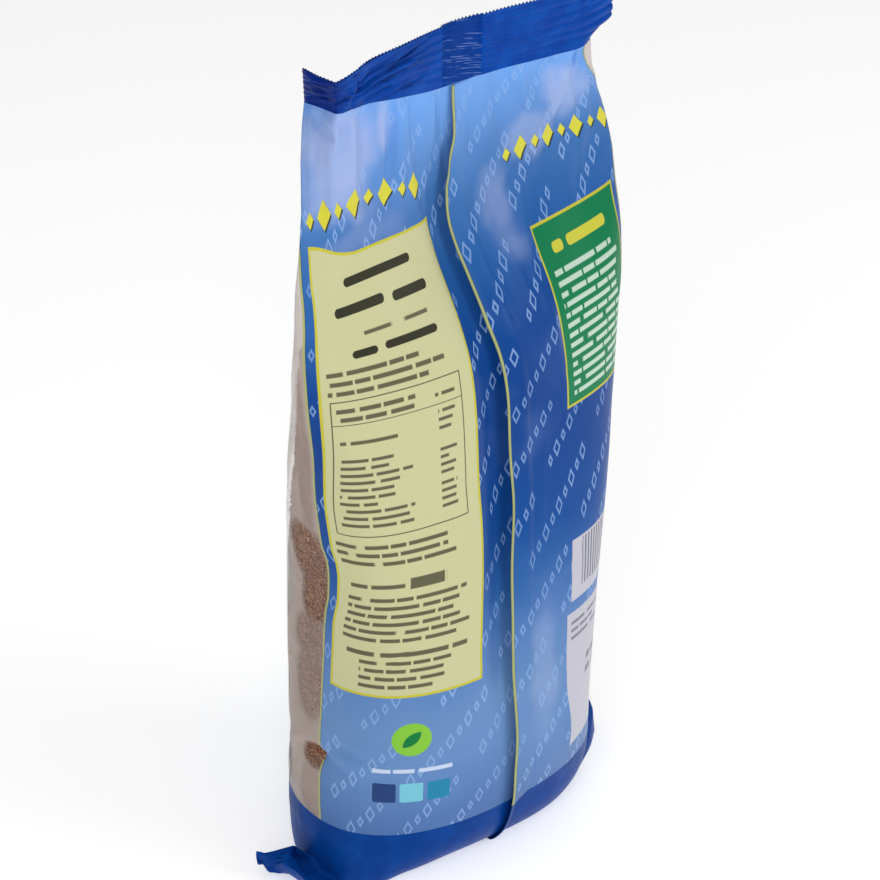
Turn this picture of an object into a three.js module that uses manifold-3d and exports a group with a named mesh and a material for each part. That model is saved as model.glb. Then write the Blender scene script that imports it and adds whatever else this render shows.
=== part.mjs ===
// A filled pillow pouch of brown sugar, standing upright, as one solid.
// Sizes are in millimetres. X runs along the pouch's width, -Y is its back, +Z is up.
import * as THREE from 'three';
import { ConvexGeometry } from 'three/addons/geometries/ConvexGeometry.js';
import { mergeVertices } from 'three/addons/utils/BufferGeometryUtils.js';
import Module from 'manifold-3d';

// The film tube and its two ends
const FLAT_WIDTH = 146;        // the tube laid flat, so its girth is twice this
const FOOT_HEIGHT = 257;       // where the filled body ends and the crimped top seal starts
const PINCH_HEIGHT = 188;      // above this the body is drawn together towards the seal
const PINCH_POWER = 1.9;       // how late the body is drawn together
const SEAL_HEIGHT = 19.5;      // top seal, foot to cut edge
const SEAL_THICKNESS = 1.4;
const SEAL_RIBS = 9;           // crimp ribs that run along the seal
const RIB_DEPTH = 0.35;
const SEAL_OVERHANG = 7.5;     // how far the seal's right end stands out past the film below it
const BOTTOM_ROUND = 16;       // height over which the wall rounds under to the floor
const BOTTOM_DRAW = 12;        // how far it draws in there

// Filled sections from the floor up: height, depth as a share of the width, squareness,
// centre in X and Y, turn in degrees. The girth is the same in each.
const SECTIONS = [
  { height: 0, flatness: 0.54, square: 2.7, x: -2.1, y: -1.6, turn: -2.6 },
  { height: 41, flatness: 0.70, square: 2.2, x: -2.7, y: -2.5, turn: -6.3 },
  { height: 87, flatness: 0.65, square: 2.8, x: -1.5, y: -1.7, turn: -5.6 },
  { height: 132, flatness: 0.47, square: 3.1, x: 1.0, y: -1.7, turn: -3.2 },
  { height: 178, flatness: 0.29, square: 2.1, x: 0.3, y: -4.8, turn: -2.7 },
  { height: 219, flatness: 0.05, square: 2.2, x: 0.3, y: -0.2, turn: 3.9 },
  { height: 257, flatness: 0.02, square: 2.2, x: 2.4, y: 4.5, turn: 8.7 },
];

// The seal's foot line: place along the flat width, where it lies, and its lean in degrees.
// Its left end rises and is bent round to the front.
const FOOT_LINE = [
  { along: -73, x: -49.0, y: 13.3, z: 263.0, lean: 37 },
  { along: -64, x: -48.2, y: 6.9, z: 263.0, lean: 40 },
  { along: -57, x: -48.0, y: 1.2, z: 263.0, lean: 40 },
  { along: -51, x: -43.5, y: 0.6, z: 262.8, lean: 37 },
  { along: -38, x: -32.5, y: 2.4, z: 261.0, lean: 27 },
  { along: -27, x: -23.0, y: 1.6, z: 259.5, lean: 18 },
  { along: 0, x: 2.4, y: 4.3, z: 255.0, lean: 0 },
  { along: 16, x: 17.0, y: 2.1, z: 255.0, lean: 0 },
  { along: 42, x: 41.5, y: -0.6, z: 253.6, lean: 0 },
  { along: 58, x: 54.5, y: -0.8, z: 252.4, lean: 0 },
  { along: 73, x: 62.5, y: 0.8, z: 253.0, lean: 0 },
];
const LEAN_HEADING = new THREE.Vector3(-0.73, -0.68, 0);   // where the left end leans to

// Broad dents and swells of the film: place round the girth and up it, their reach, and height
const DENTS = [
  { along: -7, up: 205, reach: 7, rise: 42, out: -2.2 },
  { along: -7, up: 120, reach: 6, rise: 50, out: -1.2 },
  { along: 34, up: 190, reach: 14, rise: 22, out: -1.6 },
  { along: -40, up: 62, reach: 22, rise: 16, out: 1.2 },
  { along: -88, up: 40, reach: 12, rise: 12, out: -2.2 },
  { along: -30, up: 205, reach: 16, rise: 20, out: 1.5 },
  { along: 120, up: 150, reach: 22, rise: 26, out: -2.0 },
  { along: -125, up: 95, reach: 20, rise: 30, out: -1.5 },
];

// The fin seam on the back, lying flat to one side of its free edge
const SEAM_WIDTH = 11;
const SEAM_STAND = 1.5;        // how far the free edge stands off the film
const SEAM_ROOT = 0.25;
const SEAM_SUNK = 0.45;
const SEAM_START = 1.5;
const SEAM_STEPS = 30;

// Mesh fineness
const GIRTH_STEPS = 72;
const BODY_STEPS = 27;
const ROUND_STEPS = 5;
const SECTION_POINTS = 720;

const HALF_WIDTH = FLAT_WIDTH / 2;
const GIRTH = 2 * FLAT_WIDTH;

// The smooth curve through a table's rows, read at one place; it never overshoots a row
function smoothRead(rows, key, field, at) {
  const last = rows.length - 1;
  const place = THREE.MathUtils.clamp(at, rows[0][key], rows[last][key]);
  let i = 0;
  while (i < last - 1 && place > rows[i + 1][key]) i += 1;
  const step = (k) => rows[k + 1][key] - rows[k][key];
  const slope = (k) => (rows[k + 1][field] - rows[k][field]) / step(k);
  const tangent = (k) => {
    if (k === 0) return slope(0);
    if (k === last) return slope(last - 1);
    const before = slope(k - 1);
    const after = slope(k);
    return before * after <= 0 ? 0 : (2 * before * after) / (before + after);
  };
  const t = (place - rows[i][key]) / step(i);
  const stay = rows[i][field] * (1 + 2 * t) * (1 - t) ** 2 + rows[i + 1][field] * t * t * (3 - 2 * t);
  return stay + step(i) * (tangent(i) * t * (1 - t) ** 2 + tangent(i + 1) * t * t * (t - 1));
}

// A closed section as points, with the arc length at each, counted from the seam
function sectionLoop(height) {
  const read = (field) => smoothRead(SECTIONS, 'height', field, height);
  const power = 2 / read('square');
  const ratio = read('flatness');
  const raw = [];
  for (let i = 0; i <= SECTION_POINTS; i += 1) {
    const angle = -Math.PI + (2 * Math.PI * i) / SECTION_POINTS;
    const s = Math.sin(angle);
    const c = Math.cos(angle);
    raw.push(new THREE.Vector2(
      Math.sign(s) * Math.abs(s) ** power,
      -ratio * Math.sign(c) * Math.abs(c) ** power,
    ));
  }
  const lengths = [0];
  for (let i = 1; i < raw.length; i += 1) lengths.push(lengths[i - 1] + raw[i].distanceTo(raw[i - 1]));
  const scale = GIRTH / lengths[SECTION_POINTS];
  const middle = lengths[SECTION_POINTS / 2];
  const turn = THREE.MathUtils.degToRad(read('turn'));
  const inset = bottomInset(height);
  const wide = scale - inset;
  const deep = (scale * ratio - inset) / ratio;
  const centre = new THREE.Vector2(read('x'), read('y'));
  const points = raw.map((p) => new THREE.Vector2(p.x * wide, p.y * deep)
    .rotateAround(new THREE.Vector2(), turn).add(centre));
  return { points, along: lengths.map((length) => (length - middle) * scale) };
}

// How far the wall has drawn in where it rounds under to the floor
function bottomInset(height) {
  if (height >= BOTTOM_ROUND) return 0;
  const drop = (BOTTOM_ROUND - height) / BOTTOM_ROUND;
  return BOTTOM_DRAW * (1 - Math.sqrt(Math.max(0, 1 - drop * drop)));
}

const loops = new Map();

// The bare section's point at a place round the girth
function sectionPoint(along, height) {
  if (!loops.has(height)) loops.set(height, sectionLoop(height));
  const loop = loops.get(height);
  let low = 0;
  let high = SECTION_POINTS;
  while (high - low > 1) {
    const mid = (low + high) >> 1;
    if (loop.along[mid] <= along) low = mid;
    else high = mid;
  }
  const t = (along - loop.along[low]) / (loop.along[high] - loop.along[low]);
  return loop.points[low].clone().lerp(loop.points[high], t);
}

// The seal's foot, its rising direction and its outward direction at a place along the width
function sealFrame(along) {
  const read = (field, at = along) => smoothRead(FOOT_LINE, 'along', field, at);
  const foot = new THREE.Vector3(read('x'), read('y'), read('z'));
  const reach = 1.5;
  const ahead = Math.min(along + reach, HALF_WIDTH);
  const behind = Math.max(along - reach, -HALF_WIDTH);
  const run = new THREE.Vector3(
    read('x', ahead) - read('x', behind),
    read('y', ahead) - read('y', behind),
    read('z', ahead) - read('z', behind),
  ).normalize();
  const lean = THREE.MathUtils.degToRad(read('lean'));
  const rise = new THREE.Vector3(0, 0, Math.cos(lean)).addScaledVector(LEAN_HEADING, Math.sin(lean));
  const out = new THREE.Vector3().crossVectors(run, rise).normalize();
  return { foot, rise, out };
}

// Which film layer an arc lies on, and where along the flat width
function layerOf(along) {
  const back = Math.abs(along) <= HALF_WIDTH;
  const place = back ? along : Math.sign(along) * (FLAT_WIDTH - Math.abs(along));
  const edge = Math.abs(Math.abs(place) - HALF_WIDTH) < 0.01;
  return { place, side: edge ? 0 : (back ? 1 : -1) };
}

function dentHeight(along, height) {
  let out = 0;
  for (const dent of DENTS) {
    const across = (along - dent.along) / dent.reach;
    const upward = (height - dent.up) / dent.rise;
    out += dent.out * Math.exp(-across * across - upward * upward);
  }
  return out;
}

// A point of the body's skin before its dents
function bareSkin(along, height) {
  const flat = sectionPoint(along, height);
  const t = THREE.MathUtils.clamp((height - PINCH_HEIGHT) / (FOOT_HEIGHT - PINCH_HEIGHT), 0, 1);
  const pinch = t ** PINCH_POWER;
  const { place, side } = layerOf(along);
  const { foot, out } = sealFrame(place);
  const shut = foot.clone().addScaledVector(out, side * SEAL_THICKNESS / 2);
  const free = new THREE.Vector3(flat.x, flat.y, height);
  const level = height + pinch * (foot.z - FOOT_HEIGHT);
  return new THREE.Vector3(
    THREE.MathUtils.lerp(free.x, shut.x, pinch),
    THREE.MathUtils.lerp(free.y, shut.y, pinch),
    level,
  );
}

// The skin's outward direction
function outward(along, height) {
  const step = 1.2;
  const wrap = (at) => (at > FLAT_WIDTH ? at - GIRTH : at < -FLAT_WIDTH ? at + GIRTH : at);
  const run = bareSkin(wrap(along + step), height).sub(bareSkin(wrap(along - step), height));
  const low = Math.max(height - step, 0.01);
  const high = Math.min(height + step, FOOT_HEIGHT);
  const rise = bareSkin(along, high).sub(bareSkin(along, low));
  return run.cross(rise).normalize();
}

// A point of the body's skin, or a given distance off it
function skin(along, height, off = 0) {
  const fade = THREE.MathUtils.smoothstep(FOOT_HEIGHT - height, 2, 25);
  const lift = THREE.MathUtils.smoothstep(height, BOTTOM_ROUND, 1.5 * BOTTOM_ROUND);
  const reach = off + dentHeight(along, height) * fade * lift;
  return bareSkin(along, height).addScaledVector(outward(along, height), reach);
}

// A point of the crimped seal, from its foot at 0 to its cut edge at 1
function sealPoint(along, share) {
  const { place, side } = layerOf(along);
  const { foot, rise, out } = sealFrame(place);
  const wave = RIB_DEPTH * Math.sin(Math.PI * (2 * SEAL_RIBS * share)) * Math.min(1, 6 * share);
  foot.x += SEAL_OVERHANG * THREE.MathUtils.smoothstep(place, 50, HALF_WIDTH)
    * THREE.MathUtils.smoothstep(share, 0, 0.28);
  return foot.addScaledVector(rise, share * SEAL_HEIGHT)
    .addScaledVector(out, side * SEAL_THICKNESS / 2 + wave);
}

function bodyHeights() {
  const heights = [];
  for (let i = 0; i < ROUND_STEPS; i += 1) {
    heights.push(BOTTOM_ROUND * (1 - Math.cos((Math.PI / 2) * (i / ROUND_STEPS))));
  }
  for (let i = 0; i <= BODY_STEPS; i += 1) {
    heights.push(BOTTOM_ROUND + (FOOT_HEIGHT - BOTTOM_ROUND) * (i / BODY_STEPS));
  }
  return heights;
}

// The body and its seal: rings of points from the floor to the cut edge
function pouchRings() {
  const arcs = [];
  for (let i = 0; i < GIRTH_STEPS; i += 1) arcs.push(-FLAT_WIDTH + (GIRTH * i) / GIRTH_STEPS);
  const rings = bodyHeights().map((height) => arcs.map((along) => {
    const point = skin(along, height);
    if (height === 0) point.z = 0;
    return point;
  }));
  const steps = 2 * SEAL_RIBS;
  for (let i = 1; i <= steps; i += 1) {
    const share = (i - (i < steps ? 0.5 : 0)) / steps;
    rings.push(arcs.map((along) => sealPoint(along, share)));
  }
  return rings;
}

// A closed mesh from rings: a fan closes the first ring, and a zip across the flat last one
function meshFromRings(rings, zipStart) {
  const size = rings[0].length;
  const positions = rings.flat().flatMap((p) => [p.x, p.y, p.z]);
  const triangles = [];
  for (let r = 0; r < rings.length - 1; r += 1) {
    for (let i = 0; i < size; i += 1) {
      const next = (i + 1) % size;
      const a = r * size + i;
      const b = r * size + next;
      triangles.push(a, b, b + size, a, b + size, a + size);
    }
  }
  const middle = rings[0].reduce((sum, p) => sum.add(p), new THREE.Vector3()).divideScalar(size);
  positions.push(middle.x, middle.y, middle.z);
  const hub = positions.length / 3 - 1;
  for (let i = 0; i < size; i += 1) triangles.push(hub, (i + 1) % size, i);
  const top = (rings.length - 1) * size;
  for (let i = 0; i < size / 2; i += 1) {
    const near = (k) => top + ((zipStart + k) % size);
    const far = (k) => top + ((zipStart - k + size) % size);
    if (i > 0) triangles.push(near(i), near(i + 1), far(i));
    if (i < size / 2 - 1 || i === 0) triangles.push(near(i + 1), far(i + 1), far(i));
  }
  return meshGeometry(positions, triangles);
}

function meshGeometry(positions, triangles) {
  const geometry = new THREE.BufferGeometry();
  geometry.setAttribute('position', new THREE.Float32BufferAttribute(positions, 3));
  geometry.setIndex(triangles);
  return geometry;
}

// The fin seam: a wedge whose free edge stands off the film
function seamGeometry() {
  const corners = [[0, SEAM_STAND], [SEAM_WIDTH, SEAM_ROOT], [SEAM_WIDTH, -SEAM_SUNK], [0, -SEAM_SUNK]];
  const positions = [];
  const triangles = [];
  for (let i = 0; i <= SEAM_STEPS; i += 1) {
    const height = SEAM_START + (FOOT_HEIGHT - SEAM_START) * (i / SEAM_STEPS);
    const thin = 1 - 0.6 * THREE.MathUtils.smoothstep(height, FOOT_HEIGHT - 30, FOOT_HEIGHT);
    for (const [along, off] of corners) {
      const point = skin(along, height, off > 0 ? off * thin : off);
      positions.push(point.x, point.y, Math.max(point.z, 0));
    }
  }
  for (let i = 0; i < SEAM_STEPS; i += 1) {
    for (let k = 0; k < 4; k += 1) {
      const a = i * 4 + k;
      const b = i * 4 + ((k + 1) % 4);
      triangles.push(a, b, b + 4, a, b + 4, a + 4);
    }
  }
  const last = SEAM_STEPS * 4;
  triangles.push(0, 2, 1, 0, 3, 2, last, last + 1, last + 2, last, last + 2, last + 3);
  return meshGeometry(positions, triangles);
}

// The two corners of the folded-under bottom seal, each standing out as a pinched ear
const LEFT_EAR = [
  [-57, 4, 10.5], [-72.4, 10.8, 11], [-71.2, 11.6, 4], [-67, 10.5, 0], [-62.6, 4, 0], [-62.5, -8, 0],
  [-50, -16, 0], [-40, 6, 0], [-40, 6, 8], [-71, 13, 9], [-64, 12.5, 0],
];
const RIGHT_EAR = [
  [54, -3, 12], [66.2, -7.2, 10.5], [66, -9.5, 7.5], [64.8, -11.5, 0], [46.6, -21.1, 0],
  [27, -28.3, 0], [38, 0, 0], [38, 0, 8], [67.2, -5, 9], [66.8, -8, 0],
];

function earGeometry(corners) {
  return new ConvexGeometry(corners.map(([x, y, z]) => new THREE.Vector3(x, y, z)));
}

// Joins closed meshes into one
async function joined(geometries) {
  const wasm = await Module();
  wasm.setup();
  const solids = geometries.map((geometry) => {
    geometry.deleteAttribute('normal');
    geometry.deleteAttribute('uv');
    const merged = mergeVertices(geometry, 1e-4);
    return new wasm.Manifold(new wasm.Mesh({
      numProp: 3,
      vertProperties: new Float32Array(merged.attributes.position.array),
      triVerts: new Uint32Array(merged.index.array),
    }));
  });
  const whole = solids.reduce((sum, solid) => sum.add(solid)).getMesh();
  return meshGeometry(Array.from(whole.vertProperties), Array.from(whole.triVerts));
}

// Stands the part on the floor, with its box centred over the origin
function centred(geometry) {
  geometry.computeBoundingBox();
  const box = geometry.boundingBox;
  geometry.translate(-(box.min.x + box.max.x) / 2, -(box.min.y + box.max.y) / 2, -box.min.z);
  geometry.computeVertexNormals();
  return geometry;
}

const body = meshFromRings(pouchRings(), GIRTH_STEPS / 4);
const whole = await joined([body, seamGeometry(), earGeometry(LEFT_EAR), earGeometry(RIGHT_EAR)]);
const printedFilm = new THREE.MeshStandardMaterial({ color: 0x3a6fb8, roughness: 0.38, metalness: 0 });
const pouch = new THREE.Mesh(centred(whole), printedFilm);
pouch.name = 'pouch';

const part = new THREE.Group();
part.add(pouch);

export default part;
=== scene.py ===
"""A standing pouch of brown sugar: printed and clear film, crimped seal, fin seam, and its sugar.

Lengths in this script are in millimetres until a mesh is laid, which is in metres.
Places on the film are given as an arc round the girth, counted from the fin seam at the
back, and a height up the film tube.
"""
import math

import bpy
import numpy as np
from mathutils import Matrix, Vector


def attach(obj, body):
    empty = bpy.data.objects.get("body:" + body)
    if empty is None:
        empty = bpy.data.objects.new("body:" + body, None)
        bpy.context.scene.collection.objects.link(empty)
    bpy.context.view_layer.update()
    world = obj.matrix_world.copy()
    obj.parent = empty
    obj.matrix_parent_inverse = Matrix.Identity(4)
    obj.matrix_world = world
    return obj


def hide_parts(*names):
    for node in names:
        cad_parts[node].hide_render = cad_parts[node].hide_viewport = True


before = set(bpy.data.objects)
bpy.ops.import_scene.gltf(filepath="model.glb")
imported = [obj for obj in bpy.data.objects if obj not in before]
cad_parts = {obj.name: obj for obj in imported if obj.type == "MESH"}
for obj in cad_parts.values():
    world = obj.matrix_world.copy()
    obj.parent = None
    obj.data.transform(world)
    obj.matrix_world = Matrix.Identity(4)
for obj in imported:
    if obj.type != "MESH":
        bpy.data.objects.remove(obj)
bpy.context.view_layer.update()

MM = 0.001

# The film tube, as in the CAD
FLAT_WIDTH = 146.0
HALF_WIDTH = FLAT_WIDTH / 2
GIRTH = 2 * FLAT_WIDTH
FOOT_HEIGHT = 257.0
PINCH_HEIGHT = 188.0
PINCH_POWER = 1.9
SEAL_HEIGHT = 19.5
SEAL_THICKNESS = 1.4
SEAL_OVERHANG = 10.2
BOTTOM_ROUND = 16.0
BOTTOM_DRAW = 12.0
CENTRING = np.array([0.6646, 2.9113, 0.0])    # the CAD's last shift, to centre its box

# Height, flatness, squareness, centre x, centre y, turn in degrees
SECTIONS = np.array([
    (0, 0.54, 2.7, -2.1, -1.6, -2.6),
    (41, 0.70, 2.2, -2.7, -2.5, -6.3),
    (87, 0.65, 2.8, -1.5, -1.7, -5.6),
    (132, 0.47, 3.1, 1.0, -1.7, -3.2),
    (178, 0.29, 2.1, 0.3, -4.8, -2.7),
    (219, 0.05, 2.2, 0.3, -0.2, 3.9),
    (257, 0.02, 2.2, 2.4, 4.5, 8.7),
])

# Place along the flat width, x, y, z, lean in degrees
FOOT_LINE = np.array([
    (-73, -49.0, 13.3, 263.0, 37),
    (-64, -48.2, 6.9, 263.0, 40),
    (-57, -48.0, 1.2, 263.0, 40),
    (-51, -43.5, 0.6, 262.8, 37),
    (-38, -32.5, 2.4, 261.0, 27),
    (-27, -23.0, 1.6, 259.5, 18),
    (0, 2.4, 4.3, 255.0, 0),
    (16, 17.0, 2.1, 255.0, 0),
    (42, 41.5, -0.6, 253.6, 0),
    (58, 53.2, -0.8, 252.4, 0),
    (73, 59.8, 0.8, 253.0, 0),
])
LEAN_HEADING = np.array([-0.73, -0.68, 0.0])

# Arc, and how far the film there stands out again at its foot, towards the wall above
FOOT_SPREAD = np.array([
    (-146, 0.0), (-116, 0.0), (-104, 0.45), (-90, 0.9), (-75, 1.0), (-62, 1.0), (-50, 0.75),
    (-38, 0.25), (-22, 0.08), (-8, 0.18), (8, 0.34), (30, 0.46), (42, 0.4), (50, 0.22), (62, 0.05),
    (75, 0.0), (146, 0.0),
])

# Height, and how far the left and the right edge stand out beyond the sections
EDGE_SWELL = np.array([
    (12, -1.6, -0.5), (23, -0.8, -0.5), (28, 0.8, -0.5), (35, 1.3, -0.5), (46, 1.7, -0.6),
    (55, 0.4, -0.6), (62, -0.4, -0.7), (77, -0.4, -0.7), (91, -0.3, 0.2), (99, 0.0, 0.7),
    (107, 0.7, 0.8), (116, 1.1, 0.7), (124, 1.8, 0.5), (131, 1.5, 0.3), (144, 1.1, 0.2),
    (161, 0.3, -0.5), (177, 0.5, -0.8), (189, -0.7, 0.0), (195, -1.2, 0.7), (202, -1.7, 1.6),
    (208, -1.4, 3.0), (214, -1.1, 4.3), (222, -1.4, 4.7), (229, -1.2, 4.1), (235, -0.7, 3.0),
    (240, 0.0, 2.6), (245, 0.6, 1.3), (251, 0.7, 0.8), (257, 0.0, 0.0),
])
SWELL_PLACE, SWELL_REACH = HALF_WIDTH, 15.0
SWELL_LOWER = 14.0        # the edges lie this much further round in the lower half

# Broad dents and swells: arc, height, reach, rise, how far out
DENTS = [
    (-9, 205, 8, 42, -1.2), (34, 190, 14, 22, -1.6), (-22, 128, 10, 40, 0.8),
    (-40, 62, 22, 16, 1.2), (-88, 40, 12, 12, -2.2), (-30, 205, 16, 20, 1.5),
    (120, 150, 22, 26, -2.0), (-125, 95, 20, 30, -1.5),
    (-70, 44.5, 6, 4.0, -2.6),
]

# Single folds: from arc, height to arc, height; width; how far out
FOLDS = [
    (-69, 256, -54, 248.5, 1.7, -1.9), (-54, 248.5, -52, 257, 1.4, -1.6),
    (-64, 257, -55, 250, 1.8, 1.3), (-66, 246, -53, 241, 3.4, 1.2),
    (-30, 257, -32, 236, 1.6, -1.7), (-26.5, 257, -28, 222, 3.0, 1.5),
    (-44.5, 257, -46.5, 240, 2.2, -1.7), (-38, 257, -38, 228, 3.2, 1.2), (-50, 254, -49, 234, 2.2, 1.0),
    (-62, 236, -24, 226, 2.4, -0.7), (-18, 256, -16, 218, 2.4, -0.8),
    (14, 256, 22, 232, 2.0, -1.1), (24, 257, 36, 236, 2.6, 1.2), (40, 257, 46, 244, 2.2, -1.0),
    (52, 254, 34, 228, 3.0, 1.3), (60, 244, 40, 222, 2.2, -0.9), (46, 238, 14, 212, 2.4, -0.8),
    (64, 232, 50, 206, 2.0, 0.7), (30, 222, 18, 192, 3.0, 0.9), (-66, 220, -58, 190, 2.2, -0.6),
    (-65, 53, -49.5, 47.5, 1.7, -1.0), (-66, 57, -48, 51.5, 2.4, 0.6),
    (-66.5, 46, -56, 41, 1.6, -0.8), (-70, 49, -57, 46, 1.8, 0.7),
    (-79, 44, -67, 46, 2.2, -1.6), (-94, 38, -78, 48.5, 2.4, 1.1),
    (-80, 170, -85, 136, 2.2, 0.8), (-85, 136, -72, 127, 1.8, 0.8),
    (-76, 200, -80, 150, 2.0, -0.7), (-90, 215, -88, 150, 2.6, 0.8),
    (7, 232, 11, 205, 2.0, 0.6), (12, 205, 15, 186, 1.6, 0.5),
    (20, 196, 24, 150, 2.2, 0.6), (23, 60, 27, 30, 1.8, 0.7),
]

SEED = 20
GATHERS = 46              # small folds that run out from each seal
CREASES = 110             # short soft creases all over the film

# How the flap of the fin seam lies, and how deep the film dips beside its free edge
SEAM_VALLEY = 3.4
SEAM_FOLLOW = 0.35        # how much of the dip the flap bridges
SEAM_WIDTH = 11.0
SEAM_STAND = 2.1
SEAM_ROOT = 0.3
SEAM_FILM = 0.25
SEAM_SINK = 0.5           # the root lies this much deeper, so that it runs into the film
BAND_SINK = 1.6           # on the band only the strip beside the free edge stays out
# Height, and how far round the free edge lies from the film's own zero line
SEAM_DRIFT = np.array([
    (0, -2.0), (24, -2.0), (38, -2.8), (51, -2.1), (70, -1.5), (110, -2.4), (136, -1.2), (156, -1.6),
    (169, -2.0), (176, -2.6), (189, -4.8), (197, -5.4), (215, -6.0), (222, -6.0), (235, -3.8),
    (242, -2.2), (257, -1.2),
])

# Places of the print
BAND_TOP = 21.5
PRINT_EDGE = 69.2         # half the width of the back print; the clear strips follow it
WINDOW_EDGE = 99.2
LEFT_DRAW, RIGHT_DRAW = 6.0, 3.6
# Height, and how far the left print edge lies out beyond its usual place
LEFT_DRIFT = np.array([
    (20, 0.0), (95, 0.0), (100, -0.6), (105, -1.5), (113, -1.7), (119, -1.2), (124, 0.2), (130, 0.8),
    (140, 1.3), (152, 1.0), (162, 0.8), (178, 0.7), (190, 1.3), (205, 1.6), (215, 1.3), (228, 0.4),
    (238, 0.0), (257, 0.0),
])
RIGHT_PULL = 9.5          # how far the right edge comes back at the very top


def smoothstep(value, low, high):
    share = np.clip((np.asarray(value, float) - low) / (high - low), 0, 1)
    return share * share * (3 - 2 * share)


def spread(start, end, step):
    return np.linspace(start, end, max(2, round(abs(end - start) / step) + 1))


def wrap(arc):
    """An arc's place round the girth, from minus to plus the flat width."""
    return (arc + FLAT_WIDTH) % GIRTH - FLAT_WIDTH


def smooth_read(rows, at):
    """The smooth curve through a table's rows, which never overshoots a row."""
    keys, values = rows[:, 0], rows[:, 1:]
    at = np.clip(np.asarray(at, float), keys[0], keys[-1])
    steps = np.diff(keys)
    slopes = np.diff(values, axis=0) / steps[:, None]
    before, after = slopes[:-1], slopes[1:]
    total = np.where(before + after == 0, 1, before + after)
    tangents = np.vstack([
        slopes[:1], np.where(before * after <= 0, 0, 2 * before * after / total), slopes[-1:]])
    i = np.clip(np.searchsorted(keys, at, side="right") - 1, 0, len(keys) - 2)
    t = ((at - keys[i]) / steps[i])[..., None]
    step = steps[i][..., None]
    stay = values[i] * (1 + 2 * t) * (1 - t) ** 2 + values[i + 1] * t * t * (3 - 2 * t)
    return stay + step * (tangents[i] * t * (1 - t) ** 2 + tangents[i + 1] * t * t * (t - 1))


TURN = np.linspace(-np.pi, np.pi, 721)


def section(height):
    """A filled section: arc lengths counted from the seam, and x and y at each."""
    flatness, square, x, y, turn = smooth_read(SECTIONS, height)
    power = 2 / square
    sine, cosine = np.sin(TURN), np.cos(TURN)
    across = np.sign(sine) * np.abs(sine) ** power
    deep = -flatness * np.sign(cosine) * np.abs(cosine) ** power
    arc = np.concatenate([[0], np.cumsum(np.hypot(np.diff(across), np.diff(deep)))])
    scale = GIRTH / arc[-1]
    drop = np.clip((BOTTOM_ROUND - height) / BOTTOM_ROUND, 0, 1)
    inset = BOTTOM_DRAW * (1 - math.sqrt(1 - drop * drop))
    across = across * (scale - inset)
    deep = deep * (scale * flatness - inset) / flatness
    angle = math.radians(turn)
    return ((arc - arc[len(arc) // 2]) * scale,
            across * math.cos(angle) - deep * math.sin(angle) + x,
            across * math.sin(angle) + deep * math.cos(angle) + y)


def layer_of(arc):
    """Where along the flat width an arc lies, and on which layer: 1 back, -1 front."""
    arc = wrap(np.asarray(arc, float))
    back = np.abs(arc) <= HALF_WIDTH
    place = np.where(back, arc, np.sign(arc) * (FLAT_WIDTH - np.abs(arc)))
    edge = smoothstep(HALF_WIDTH - np.abs(place), 0, 1.2)
    return place, np.where(back, 1.0, -1.0) * edge


def seal_frame(place):
    """The seal's foot, its rising direction and its outward direction."""
    row = smooth_read(FOOT_LINE, place)
    ahead = smooth_read(FOOT_LINE, np.minimum(place + 1.5, HALF_WIDTH))
    behind = smooth_read(FOOT_LINE, np.maximum(place - 1.5, -HALF_WIDTH))
    run = (ahead - behind)[..., :3]
    lean = np.radians(row[..., 3:4])
    rise = np.array([0, 0, 1.0]) * np.cos(lean) + LEAN_HEADING * np.sin(lean)
    out = np.cross(run, rise)
    return row[..., :3], rise, out / np.linalg.norm(out, axis=-1, keepdims=True)


def bare_form(arcs, heights):
    """The film tube before its dents and folds, on a grid of heights by arcs."""
    place, side = layer_of(arcs)
    foot, _, out = seal_frame(place)
    shut = foot + out * side[:, None] * SEAL_THICKNESS / 2
    wrapped = wrap(arcs)
    points = np.zeros((len(heights), len(arcs), 3))
    arc, x, y = section(BOTTOM_ROUND)
    wall = np.stack([np.interp(wrapped, arc, x), np.interp(wrapped, arc, y)], -1)
    outward = smooth_read(FOOT_SPREAD, wrapped)
    for i, height in enumerate(heights):
        arc, x, y = section(height)
        pinch = np.clip((height - PINCH_HEIGHT) / (FOOT_HEIGHT - PINCH_HEIGHT), 0, 1) ** PINCH_POWER
        flat = np.stack([np.interp(wrapped, arc, x), np.interp(wrapped, arc, y)], -1)
        if height < BOTTOM_ROUND:
            flat = flat + (wall - flat) * outward
        points[i, :, :2] = flat + (shut[:, :2] - flat) * pinch
        left, right = smooth_read(EDGE_SWELL, height)
        middle = SWELL_PLACE + SWELL_LOWER * (1 - smoothstep(height, 90, 150))
        edges = np.exp(-((np.abs(wrapped) - middle) / SWELL_REACH) ** 2)
        points[i, :, 0] += np.where(wrapped < 0, -left, right) * edges
        points[i, :, 2] = height + pinch * (shut[:, 2] - FOOT_HEIGHT)
    return points


def fold_relief(arc, height, fold):
    """One fold's height over the film: a soft ridge or valley along a line."""
    from_arc, from_height, to_arc, to_height, width, out = fold
    run = np.array([to_arc - from_arc, to_height - from_height], float)
    length = max(np.hypot(*run), 1e-6)
    run /= length
    dx = wrap(arc - from_arc)
    dy = height - from_height
    t = dx * run[0] + dy * run[1]
    held = np.clip(t, 0, length)
    off = np.hypot(dx - held * run[0], dy - held * run[1])
    taper = 0.35 + 0.65 * np.sin(np.pi * np.clip(t / length, 0, 1))
    return out * taper * np.exp(-(off / width) ** 2)


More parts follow.
